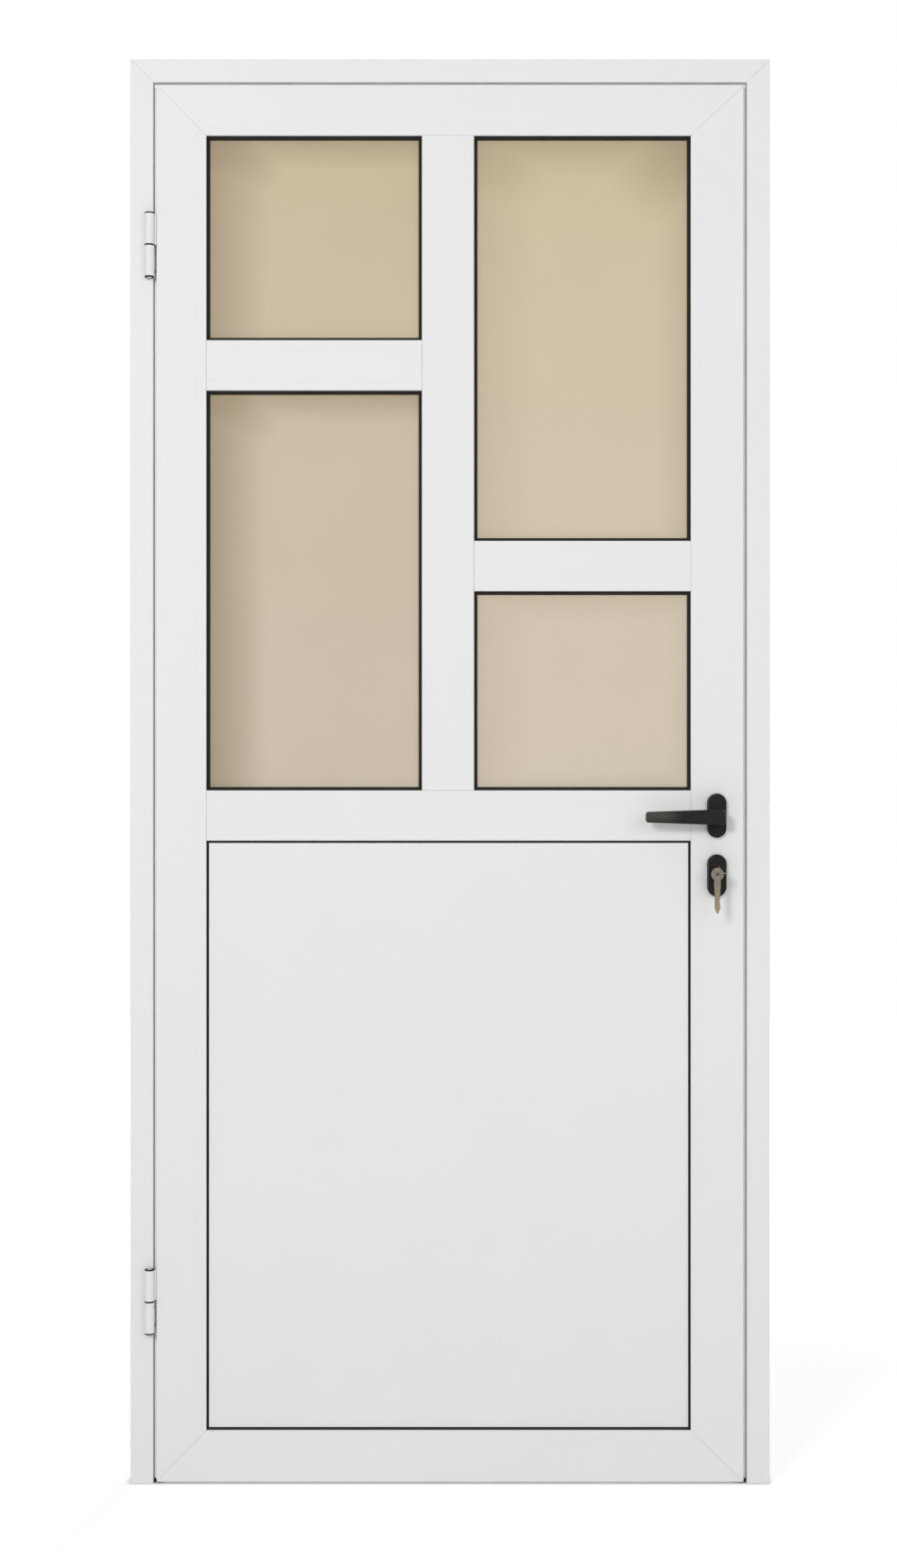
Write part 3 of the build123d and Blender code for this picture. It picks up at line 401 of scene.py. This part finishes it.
class DOOR_OT_coat_handles(bpy.types.Operator):
    """Coat the rosettes and escutcheons black, with the coat that the levers take too"""
    bl_idname = "door.coat_handles"
    bl_label = "Coat handle set"

    def execute(self, context):
        finish = context.scene.door_finishes
        # Black coated aluminium castings: a fine satin skin, paler and smoother towards the lever's
        # tip, partly worn where hands grip it and partly a painted sheen on the grip's upper half,
        # with painted highlights on the left bevels and on the upper right rim of each hub end
        material, tree, place = new_material("satin_black_coat_painted_highlights")
        cloud = add_node(tree, "ShaderNodeTexNoise", {
            "Vector": place, "Scale": 1 / (25 * MM), "Detail": 3.0})
        skin = add_node(tree, "ShaderNodeTexNoise", {"Vector": place, "Scale": 1 / (0.8 * MM)})
        spot = add_node(tree, "ShaderNodeSeparateXYZ", {"Vector": place})
        low, high = (Vector(corner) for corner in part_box("front_lever"))
        tip, level, hub_half = low.x, (low.z + high.z) / 2, (high.z - low.z) / 2
        # Paler towards the tip: grip wear, and a painted sheen
        grip_wear_and_sheen = add_node(tree, "ShaderNodeMapRange", {
            "Value": spot.outputs["X"], "From Min": tip + 24 * MM, "From Max": tip + 56 * MM,
            "To Min": 0.88, "To Max": 0.0}, interpolation_type="SMOOTHSTEP")
        # The grip's upper half takes the painted sheen; its lower half stays dark
        upper = add_node(tree, "ShaderNodeMapRange", {
            "Value": spot.outputs["Z"], "From Min": level - 12 * MM, "From Max": level + 1 * MM})
        held_wear_and_sheen = add_node(tree, "ShaderNodeMath", {
            0: grip_wear_and_sheen.outputs["Result"], 1: upper.outputs["Result"]}, operation="MULTIPLY")
        outward = add_node(tree, "ShaderNodeTexCoord").outputs["Normal"]
        # A highlight is painted on the bevels that face up and to the left
        bevel = add_node(tree, "ShaderNodeVectorMath", {
            0: outward, 1: LEFT_BEVEL_HIGHLIGHT}, operation="DOT_PRODUCT")
        edge = add_node(tree, "ShaderNodeMapRange", {
            "Value": bevel.outputs["Value"], "From Min": 0.74, "From Max": 0.9})
        # A highlight is painted on the rim of a lever's hub end, upper right, so that it stands out
        # from the rosette behind it
        hub_rim = add_node(tree, "ShaderNodeVectorMath", {
            0: outward, 1: HUB_RIM_HIGHLIGHT}, operation="DOT_PRODUCT")
        hub_highlight = add_node(tree, "ShaderNodeMapRange", {
            "Value": hub_rim.outputs["Value"], "From Min": 0.8, "From Max": 0.94, "To Max": 0.9})
        at_hub = add_node(tree, "ShaderNodeMapRange", {
            "Value": spot.outputs["X"], "From Min": high.x - 18 * MM, "From Max": high.x - 12 * MM})
        in_height = add_node(tree, "ShaderNodeMath", {
            0: spot.outputs["Z"], 1: level, 2: hub_half}, operation="COMPARE")
        hub_place = add_node(tree, "ShaderNodeMath", {
            0: at_hub.outputs["Result"], 1: in_height.outputs["Value"]}, operation="MULTIPLY")
        hub_rim_highlight = add_node(tree, "ShaderNodeMath", {
            0: hub_highlight.outputs["Result"], 1: hub_place.outputs["Value"]}, operation="MULTIPLY")
        # The painted highlights of the left bevels and of the hub rim together
        edges = add_node(tree, "ShaderNodeMath", {
            0: hub_rim_highlight.outputs["Value"], 1: edge.outputs["Result"]}, operation="MAXIMUM")
        wear_sheen_and_highlights = add_node(tree, "ShaderNodeMath", {
            0: held_wear_and_sheen.outputs["Value"], 1: edges.outputs["Value"]}, operation="MAXIMUM")
        thin = add_node(tree, "ShaderNodeMapRange", {
            "Value": cloud.outputs["Fac"], "To Min": -0.1, "To Max": 0.16})
        # The coat also thins at random, on top of the wear, painted sheen and painted highlights
        rub_sheen_and_highlight = add_node(tree, "ShaderNodeMath", {
            0: wear_sheen_and_highlights.outputs["Value"], 1: thin.outputs["Result"]}, operation="ADD", use_clamp=True)
        colour = add_node(tree, "ShaderNodeMix", {
            0: rub_sheen_and_highlight.outputs["Value"], 6: finish.black, 7: finish.black_rub_and_highlight}, data_type="RGBA")
        gloss = add_node(tree, "ShaderNodeMapRange", {
            "Value": rub_sheen_and_highlight.outputs["Value"], "To Min": 0.46, "To Max": 0.36})
        relief = add_node(tree, "ShaderNodeBump", {
            "Height": skin.outputs["Fac"], "Strength": 0.3, "Distance": 0.04 * MM})
        shader = add_node(tree, "ShaderNodeBsdfPrincipled", {
            "Base Color": colour.outputs[2], "Roughness": gloss.outputs["Result"],
            "Normal": relief.outputs["Normal"], "IOR": 1.5, "Specular IOR Level": 0.14})
        add_node(tree, "ShaderNodeOutputMaterial", {"Surface": shader.outputs["BSDF"]})
        dress(BLACK_FITTINGS, material)
        return {"FINISHED"}


def rounded_outline(corners):
    """Points in order round a flat outline of (x, z, radius) corners."""
    points = []
    for index, (x, z, radius) in enumerate(corners):
        corner = Vector((x, z))
        before = (Vector(corners[index - 1][:2]) - corner).normalized()
        after = (Vector(corners[(index + 1) % len(corners)][:2]) - corner).normalized()
        half = before.angle(after) / 2
        centre = corner + (before + after).normalized() * radius / math.sin(half)
        start, end = (corner + way * radius / math.tan(half) - centre for way in (before, after))
        first = math.atan2(start.y, start.x)
        sweep = (math.atan2(end.y, end.x) - first + math.pi) % (2 * math.pi) - math.pi
        steps = CORNER_STEPS if radius else 0
        for step in range(steps + 1):
            angle = first + sweep * step / max(steps, 1)
            points.append(centre + radius * Vector((math.cos(angle), math.sin(angle))))
    return points


def lever_grip(name, outline, back_y, face_y, sizes):
    """A closed grip between two planes, rounded along its outer face and bevelled along its back."""
    shape = bmesh.new()
    back, face = ([shape.verts.new((spot.x, y, spot.y)) for spot in outline] for y in (back_y, face_y))
    shape.faces.new(back)
    outer = shape.faces.new(face)
    count = len(outline)
    for index in range(count):
        after = (index + 1) % count
        shape.faces.new((back[index], back[after], face[after], face[index]))
    bmesh.ops.recalc_face_normals(shape, faces=shape.faces)
    back_rim = [shape.edges.get((back[index - 1], back[index])) for index in range(count)]
    bmesh.ops.bevel(shape, geom=list(outer.edges), offset=sizes.face_round, segments=ROUND_STEPS,
                    profile=0.5, affect="EDGES")
    bmesh.ops.bevel(shape, geom=back_rim, offset=sizes.back_bevel, segments=1, affect="EDGES")
    # A narrow border keeps the flat of the outer face from shading as if it were curved
    outer = min(shape.faces, key=lambda one: abs(one.calc_center_median().y - face_y))
    bmesh.ops.inset_region(shape, faces=[outer], thickness=FACE_BORDER)
    mesh = bpy.data.meshes.new(name)
    shape.to_mesh(mesh)
    shape.free()
    return mesh


class DOOR_OT_cast_levers(bpy.types.Operator):
    """Cast both levers with rounded hub ends, in place of the plain ones"""
    bl_idname = "door.cast_levers"
    bl_label = "Cast levers"

    def execute(self, context):
        sizes = context.scene.door_levers
        material = bpy.data.materials["satin_black_coat_painted_highlights"]
        low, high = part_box("spindle")
        axis_x, axis_z = (low[0] + high[0]) / 2, (low[2] + high[2]) / 2
        for side in ("front", "back"):
            low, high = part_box(f"{side}_lever")
            face_y, neck_y = (low[1], high[1]) if side == "front" else (high[1], low[1])
            inwards = math.copysign(1.0, neck_y - face_y)
            back_y = face_y + inwards * sizes.thickness
            tip_x, hub_x, arm_x = low[0], high[0], 2 * axis_x - high[0]
            middle, hub_half = (low[2] + high[2]) / 2, (high[2] - low[2]) / 2
            arm_half, tip_half = sizes.arm_height / 2, sizes.tip_height / 2
            outline = rounded_outline((
                (hub_x, middle - hub_half, sizes.hub_corner),
                (hub_x, middle + hub_half, sizes.hub_corner),
                (arm_x, middle + arm_half, 0.0), (tip_x, middle + tip_half, sizes.tip_corner),
                (tip_x, middle - tip_half, sizes.tip_corner), (arm_x, middle - arm_half, 0.0)))
            name = f"{side}_lever_casting"
            shell = lever_grip(name + "_grip", outline, back_y, face_y, sizes)
            grip = bpy.data.objects.new(name + "_grip", shell)
            # The neck runs from the rosette into the grip, which it joins as one casting
            shape = bmesh.new()
            reach = abs(back_y - neck_y) + sizes.face_round
            bmesh.ops.create_cone(
                shape, cap_ends=True, segments=NECK_SIDES, radius1=NECK_RADIUS, radius2=NECK_RADIUS,
                depth=reach, matrix=Matrix.Translation((axis_x, neck_y - inwards * reach / 2, axis_z))
                @ Matrix.Rotation(math.pi / 2, 4, "X"))
            tube = bpy.data.meshes.new(name + "_neck")
            shape.to_mesh(tube)
            shape.free()
            neck = bpy.data.objects.new(name + "_neck", tube)
            for holder in (grip, neck):
                context.scene.collection.objects.link(holder)
            join = grip.modifiers.new("neck", "BOOLEAN")
            join.operation, join.solver, join.object = "UNION", "EXACT", neck
            mesh = bpy.data.meshes.new_from_object(
                grip.evaluated_get(context.evaluated_depsgraph_get()))
            mesh.name = name
            for holder in (grip, neck):
                bpy.data.objects.remove(holder)
            mesh.shade_smooth()
            mesh.set_sharp_from_angle(angle=SHARP_FROM)
            mesh.materials.clear()
            mesh.materials.append(material)
            piece = bpy.data.objects.new(name, mesh)
            context.scene.collection.objects.link(piece)
            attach(piece, "handle")
            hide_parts(f"{side}_lever")
        return {"FINISHED"}


class DOOR_OT_plate_keys(bpy.types.Operator):
    """Plate the lock cylinder, its plug and the keys"""
    bl_idname = "door.plate_keys"
    bl_label = "Plate lock and keys"

    def execute(self, context):
        finish = context.scene.door_finishes
        # Nickel-plated brass: a soft grey metal, worn warm in patches where the brass shows
        material, tree, place = new_material("worn_nickel_plated_brass")
        wear = add_node(tree, "ShaderNodeTexNoise", {
            "Vector": place, "Scale": 1 / (5 * MM), "Detail": 6.0, "Roughness": 0.62})
        # The blade is worn more than the bow above it
        spot = add_node(tree, "ShaderNodeSeparateXYZ", {"Vector": place})
        more = add_node(tree, "ShaderNodeMapRange", {
            "Value": spot.outputs["Z"], "From Min": BLADE_Z, "From Max": BOW_Z,
            "To Min": 0.07, "To Max": -0.08})
        worn = add_node(tree, "ShaderNodeMath", {
            0: wear.outputs["Fac"], 1: more.outputs["Result"]}, operation="ADD")
        patches = add_node(tree, "ShaderNodeMapRange", {
            "Value": worn.outputs["Value"], "From Min": 0.36, "From Max": 0.7})
        colour = add_node(tree, "ShaderNodeMix", {
            0: patches.outputs["Result"], 6: finish.nickel, 7: finish.brass}, data_type="RGBA")
        scratch = add_node(tree, "ShaderNodeTexNoise", {"Vector": place, "Scale": 1 / (0.6 * MM)})
        gloss = add_node(tree, "ShaderNodeMapRange", {
            "Value": scratch.outputs["Fac"], "To Min": 0.36, "To Max": 0.56})
        relief = add_node(tree, "ShaderNodeBump", {
            "Height": scratch.outputs["Fac"], "Strength": 0.15, "Distance": 0.02 * MM})
        shader = add_node(tree, "ShaderNodeBsdfPrincipled", {
            "Base Color": colour.outputs[2], "Roughness": gloss.outputs["Result"],
            "Normal": relief.outputs["Normal"], "Metallic": 1.0})
        add_node(tree, "ShaderNodeOutputMaterial", {"Surface": shader.outputs["BSDF"]})
        dress(NICKEL_FITTINGS, material)
        return {"FINISHED"}


class DOOR_OT_brush_steel(bpy.types.Operator):
    """Brush the lock plates, bolts, spindle and key ring"""
    bl_idname = "door.brush_steel"
    bl_label = "Brush steel"

    def execute(self, context):
        finish = context.scene.door_finishes
        # Brushed stainless steel: fine upright lines from the belt, so its sheen runs across them
        material, tree, place = new_material("brushed_stainless_steel")
        drawn = add_node(tree, "ShaderNodeMapping", {"Vector": place, "Scale": (1.0, 1.0, 0.02)})
        lines = add_node(tree, "ShaderNodeTexNoise", {
            "Vector": drawn.outputs["Vector"], "Scale": 1 / (0.7 * MM), "Detail": 3.0})
        tone = add_node(tree, "ShaderNodeHueSaturation", {
            "Color": finish.steel,
            "Value": add_node(tree, "ShaderNodeMapRange", {
                "Value": lines.outputs["Fac"], "To Min": 0.86, "To Max": 1.1}).outputs["Result"]})
        gloss = add_node(tree, "ShaderNodeMapRange", {
            "Value": lines.outputs["Fac"], "To Min": 0.26, "To Max": 0.42})
        relief = add_node(tree, "ShaderNodeBump", {
            "Height": lines.outputs["Fac"], "Strength": 0.2, "Distance": 0.02 * MM})
        shader = add_node(tree, "ShaderNodeBsdfPrincipled", {
            "Base Color": tone.outputs["Color"], "Roughness": gloss.outputs["Result"],
            "Normal": relief.outputs["Normal"], "Metallic": 1.0})
        add_node(tree, "ShaderNodeOutputMaterial", {"Surface": shader.outputs["BSDF"]})
        dress(STEEL_FITTINGS, material)
        return {"FINISHED"}


def screw_tree():
    """Geometry Nodes tree: a low countersunk head with a cross recess on every point."""
    tree = bpy.data.node_groups.new("countersunk_screws", "GeometryNodeTree")
    face = tree.interface
    face.new_socket("Geometry", in_out="INPUT", socket_type="NodeSocketGeometry")
    for name in ("Head Radius", "Head Proud", "Recess Width", "Recess Length"):
        face.new_socket(name, in_out="INPUT", socket_type="NodeSocketFloat")
    face.new_socket("Facing", in_out="INPUT", socket_type="NodeSocketVector")
    face.new_socket("Finish", in_out="INPUT", socket_type="NodeSocketMaterial")
    face.new_socket("Geometry", in_out="OUTPUT", socket_type="NodeSocketGeometry")
    sizes = add_node(tree, "NodeGroupInput").outputs
    rim = add_node(tree, "ShaderNodeMath", {
        0: sizes["Head Radius"], 1: SCREW_RIM}, operation="MULTIPLY")
    head = add_node(tree, "GeometryNodeMeshCone", {
        "Vertices": SCREW_SIDES, "Radius Top": rim.outputs["Value"],
        "Radius Bottom": sizes["Head Radius"], "Depth": sizes["Head Proud"]})
    arm = add_node(tree, "ShaderNodeCombineXYZ", {
        "X": sizes["Recess Length"], "Y": sizes["Recess Width"], "Z": sizes["Head Proud"]})
    slot = add_node(tree, "GeometryNodeMeshCube", {"Size": arm.outputs["Vector"]})
    lift = add_node(tree, "ShaderNodeMath", {
        0: sizes["Head Proud"], 1: RECESS_LIFT}, operation="MULTIPLY")
    place = add_node(tree, "ShaderNodeCombineXYZ", {"Z": lift.outputs["Value"]})
    first = add_node(tree, "GeometryNodeTransform", {
        "Geometry": slot.outputs["Mesh"], "Translation": place.outputs["Vector"]})
    second = add_node(tree, "GeometryNodeTransform", {
        "Geometry": first.outputs["Geometry"], "Rotation": (0.0, 0.0, math.pi / 2)})
    cut_one = add_node(tree, "GeometryNodeMeshBoolean", {
        "Mesh 1": head.outputs["Mesh"], "Mesh 2": first.outputs["Geometry"]},
        operation="DIFFERENCE", solver="EXACT")
    cut_two = add_node(tree, "GeometryNodeMeshBoolean", {
        "Mesh 1": cut_one.outputs["Mesh"], "Mesh 2": second.outputs["Geometry"]},
        operation="DIFFERENCE", solver="EXACT")
    turned = add_node(tree, "FunctionNodeEulerToRotation", {"Euler": sizes["Facing"]})
    spread = add_node(tree, "GeometryNodeInstanceOnPoints", {
        "Points": sizes["Geometry"], "Instance": cut_two.outputs["Mesh"],
        "Rotation": turned.outputs["Rotation"]})
    # Every screw was left at its own angle
    spin = add_node(tree, "FunctionNodeRandomValue", {
        "Min": (0.0, 0.0, 0.0), "Max": (0.0, 0.0, math.pi), "Seed": SCREW_SEED},
        data_type="FLOAT_VECTOR")
    angle = add_node(tree, "FunctionNodeEulerToRotation", {"Euler": spin.outputs[0]})
    set_in = add_node(tree, "GeometryNodeRotateInstances", {
        "Instances": spread.outputs["Instances"], "Rotation": angle.outputs["Rotation"],
        "Local Space": True})
    real = add_node(tree, "GeometryNodeRealizeInstances", {"Geometry": set_in.outputs["Instances"]})
    shown = add_node(tree, "GeometryNodeSetMaterial", {
        "Geometry": real.outputs["Geometry"], "Material": sizes["Finish"]})
    add_node(tree, "NodeGroupOutput", {"Geometry": shown.outputs["Geometry"]})
    return tree


def place_screws(name, body, points, facing, sizes, tree, material):
    """Screws at points in metres, facing along the turned Z axis, as one plain mesh on a body."""
    cloud = bpy.data.meshes.new(name + "_places")
    cloud.from_pydata(points, [], [])
    holder = bpy.data.objects.new(name + "_places", cloud)
    bpy.context.scene.collection.objects.link(holder)
    modifier = holder.modifiers.new("screws", "NODES")
    modifier.node_group = tree
    values = {"Facing": facing, "Finish": material, **sizes}
    for socket in tree.interface.items_tree:
        if socket.in_out == "INPUT" and socket.name in values:
            modifier[socket.identifier] = values[socket.name]
    settled = holder.evaluated_get(bpy.context.evaluated_depsgraph_get())
    mesh = bpy.data.meshes.new_from_object(settled)
    mesh.name = name
    bpy.data.objects.remove(holder)
    piece = bpy.data.objects.new(name, mesh)
    bpy.context.scene.collection.objects.link(piece)
    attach(piece, body)
    return piece


class DOOR_OT_drive_screws(bpy.types.Operator):
    """Drive the screws of the lock plates and hinges, and the levers' set screws"""
    bl_idname = "door.drive_screws"
    bl_label = "Drive screws"

    def execute(self, context):
        sizes = context.scene.door_screws
        # Bright zinc-plated steel: small, even and a little glossy
        material, tree, place = new_material("zinc_plated_screw_steel")
        bloom = add_node(tree, "ShaderNodeTexNoise", {"Vector": place, "Scale": 1 / (3 * MM)})
        gloss = add_node(tree, "ShaderNodeMapRange", {
            "Value": bloom.outputs["Fac"], "To Min": 0.24, "To Max": 0.44})
        shader = add_node(tree, "ShaderNodeBsdfPrincipled", {
            "Base Color": context.scene.door_finishes.steel, "Roughness": gloss.outputs["Result"],
            "Metallic": 1.0})
        add_node(tree, "ShaderNodeOutputMaterial", {"Surface": shader.outputs["BSDF"]})

        heads = screw_tree()
        size = {"Head Radius": sizes.head_radius, "Head Proud": sizes.head_proud,
                "Recess Width": sizes.recess_width, "Recess Length": sizes.recess_length}
        towards_plus_x, towards_minus_x = (0.0, math.pi / 2, 0.0), (0.0, -math.pi / 2, 0.0)
        downwards = (math.pi, 0.0, 0.0)

        # A lock plate has a screw near each end, in the face that it shows
        for plate, body, end, facing in (("lock_faceplate", "leaf", 1, towards_plus_x),
                                         ("strike_plate", "frame", 0, towards_minus_x)):
            low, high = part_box(plate)
            shown, middle = (low, high)[end][0], (low[1] + high[1]) / 2
            points = [(shown, middle, low[2] + PLATE_END_INSET),
                      (shown, middle, high[2] - PLATE_END_INSET)]
            place_screws(f"{plate}_screws", body, points, facing, size, heads, material)
        # A hinge's plates lie on the jamb's rebate and on the leaf's edge, with two screws each
        leaf_plate_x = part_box("hinge_stile")[0][0] - HINGE_PLATE
        frame_plate_x = leaf_plate_x - JAMB_TO_LEAF_PLATE
        leaf_points, frame_points = [], []
        for level in ("upper", "lower"):
            low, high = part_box(f"{level}_hinge_leaf_knuckle")
            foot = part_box(f"{level}_hinge_frame_knuckle")[0][2]
            screw_y = high[1] - HINGE_BACK_INSET
            leaf_points += [(leaf_plate_x, screw_y, low[2] + HINGE_END_INSET),
                            (leaf_plate_x, screw_y, high[2] - HINGE_END_INSET)]
            frame_points += [(frame_plate_x, screw_y, foot + HINGE_END_INSET),
                             (frame_plate_x, screw_y, low[2] - HINGE_END_INSET)]
        place_screws("leaf_hinge_screws", "leaf", leaf_points, towards_minus_x, size, heads, material)
        place_screws("frame_hinge_screws", "frame", frame_points, towards_plus_x, size, heads,
                     material)
        # A set screw under each lever's neck grips the spindle
        low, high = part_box("spindle")
        across, level = (low[0] + high[0]) / 2, (low[2] + high[2]) / 2 - NECK_RADIUS
        grubs = [(across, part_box("front_rosette")[0][1] - GRUB_OUT, level),
                 (across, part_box("back_rosette")[1][1] + GRUB_OUT, level)]
        small = {"Head Radius": sizes.grub_radius, "Head Proud": sizes.head_proud,
                 "Recess Width": sizes.recess_width, "Recess Length": sizes.grub_radius}
        place_screws("lever_set_screws", "handle", grubs, downwards, small, heads, material)
        return {"FINISHED"}


class DOOR_OT_set_stage(bpy.types.Operator):
    """Set the pale floor, the soft lights and the camera"""
    bl_idname = "door.set_stage"
    bl_label = "Set stage"

    def execute(self, context):
        studio = context.scene.door_studio
        scene = context.scene
        scene.view_settings.view_transform = "Standard"

        # Matt pale floor: its own glow lifts it to the white around, less near the door, whose shadow
        # stays, and least in narrow places, such as the dark gap under the leaf
        material, tree, place = new_material("matt_white_studio_floor")
        mottle = add_node(tree, "ShaderNodeTexNoise", {"Vector": place, "Scale": 1 / (400 * MM)})
        gloss = add_node(tree, "ShaderNodeMapRange", {
            "Value": mottle.outputs["Fac"], "To Min": 0.85, "To Max": 0.95})
        low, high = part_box("frame_head")
        nearby = add_node(tree, "ShaderNodeAmbientOcclusion", {"Distance": NARROW})
        narrow = add_node(tree, "ShaderNodeMath", {
            0: nearby.outputs["AO"], 1: 3.0}, operation="POWER")
        open_floor = add_node(tree, "ShaderNodeMath", {
            0: seen_rays(tree), 1: narrow.outputs["Value"]}, operation="MULTIPLY")
        far = add_node(tree, "ShaderNodeVectorMath", {0: place}, operation="LENGTH")
        melt = add_node(tree, "ShaderNodeMapRange", {
            "Value": far.outputs["Value"], "From Min": MELT_START, "From Max": MELT_END,
            "To Min": 0.36, "To Max": 0.64})
        glow = add_node(tree, "ShaderNodeMath", {
            0: open_floor.outputs["Value"], 1: melt.outputs["Result"]}, operation="MULTIPLY")
        shader = add_node(tree, "ShaderNodeBsdfPrincipled", {
            "Base Color": studio.floor, "Roughness": gloss.outputs["Result"],
            "Specular IOR Level": 0.1, "Emission Color": studio.floor,
            "Emission Strength": glow.outputs["Value"]})
        add_node(tree, "ShaderNodeOutputMaterial", {"Surface": shader.outputs["BSDF"]})
        mesh = bpy.data.meshes.new("studio_floor")
        shape = bmesh.new()
        bmesh.ops.create_grid(shape, x_segments=8, y_segments=8, size=FLOOR_HALF)
        shape.to_mesh(mesh)
        shape.free()
        mesh.materials.append(material)
        ground = bpy.data.objects.new("studio_floor", mesh)
        ground.location = ((low[0] + high[0]) / 2, 0.0, CAD_BOX[0][2] - FLOOR_DROP)
        scene.collection.objects.link(ground)

        world = bpy.data.worlds.new("studio_white")
        world.use_nodes = True
        tree = world.node_tree
        tree.nodes.clear()
        light = add_node(tree, "ShaderNodeBackground", {
            "Color": (1.0, 1.0, 1.0, 1.0), "Strength": studio.ambient})
        white = add_node(tree, "ShaderNodeBackground", {
            "Color": (1.0, 1.0, 1.0, 1.0), "Strength": 1.0})
        both = add_node(tree, "ShaderNodeMixShader", {
            0: seen_rays(tree), 1: light.outputs["Background"], 2: white.outputs["Background"]})
        add_node(tree, "ShaderNodeOutputWorld", {"Surface": both.outputs["Shader"]})
        scene.world = world

        for name, spot, power, width in (
            ("key_light", (-1.0, -4.0, 2.3), studio.key_power, 0.8),
            ("fill_light", (2.4, -3.6, 1.9), studio.fill_power, 2.0),
            ("back_light", (1.6, 4.2, 2.6), studio.back_power, 1.6),
        ):
            lamp = bpy.data.lights.new(name, "AREA")
            lamp.energy = power
            lamp.shape = "SQUARE"
            lamp.size = width
            holder = bpy.data.objects.new(name, lamp)
            holder.location = spot
            holder.rotation_euler = (LIGHT_AIM - Vector(spot)).to_track_quat("-Z", "Y").to_euler()
            scene.collection.objects.link(holder)

        eye = bpy.data.cameras.new("front_camera")
        eye.lens = studio.lens
        eye.sensor_width = 36.0
        camera = bpy.data.objects.new("front_camera", eye)
        camera.location = studio.camera_place
        camera.rotation_euler = Euler((math.pi / 2, 0.0, 0.0))
        scene.collection.objects.link(camera)
        scene.camera = camera
        return {"FINISHED"}


class DOOR_PT_dresser(bpy.types.Panel):
    """Sidebar panel with the door's finishes and steps"""
    bl_idname = "DOOR_PT_dresser"
    bl_label = "Glazed door"
    bl_space_type = "VIEW_3D"
    bl_region_type = "UI"
    bl_category = "Door"

    def draw(self, context):
        for group in (getattr(context.scene, name) for name in GROUPS):
            box = self.layout.box()
            for name in group.__annotations__:
                box.prop(group, name)
        for step in STEPS:
            self.layout.operator(step.bl_idname)


GROUPS = {"door_finishes": DoorFinishes, "door_levers": DoorLevers, "door_screws": DoorScrews,
          "door_studio": DoorStudio}
STEPS = (
    DOOR_OT_coat_profiles, DOOR_OT_coat_panel, DOOR_OT_glaze_panes, DOOR_OT_fit_seals,
    DOOR_OT_coat_handles, DOOR_OT_cast_levers, DOOR_OT_plate_keys, DOOR_OT_brush_steel,
    DOOR_OT_drive_screws, DOOR_OT_set_stage,
)


def register():
    """Register the classes and hang the settings on the scene."""
    for kind in (*GROUPS.values(), *STEPS, DOOR_PT_dresser):
        bpy.utils.register_class(kind)
    for name, kind in GROUPS.items():
        setattr(bpy.types.Scene, name, PointerProperty(type=kind))


def unregister():
    """Take the settings and the classes away again."""
    for name in GROUPS:
        delattr(bpy.types.Scene, name)
    for kind in (DOOR_PT_dresser, *reversed(STEPS), *reversed(tuple(GROUPS.values()))):
        bpy.utils.unregister_class(kind)


def main():
    register()
    bpy.ops.door.coat_profiles()
    bpy.ops.door.coat_panel()
    bpy.ops.door.glaze_panes()
    bpy.ops.door.fit_seals()
    bpy.ops.door.coat_handles()
    bpy.ops.door.cast_levers()
    bpy.ops.door.plate_keys()
    bpy.ops.door.brush_steel()
    bpy.ops.door.drive_screws()
    bpy.ops.door.set_stage()
    bpy.context.view_layer.update()


if __name__ == "__main__":
    main()
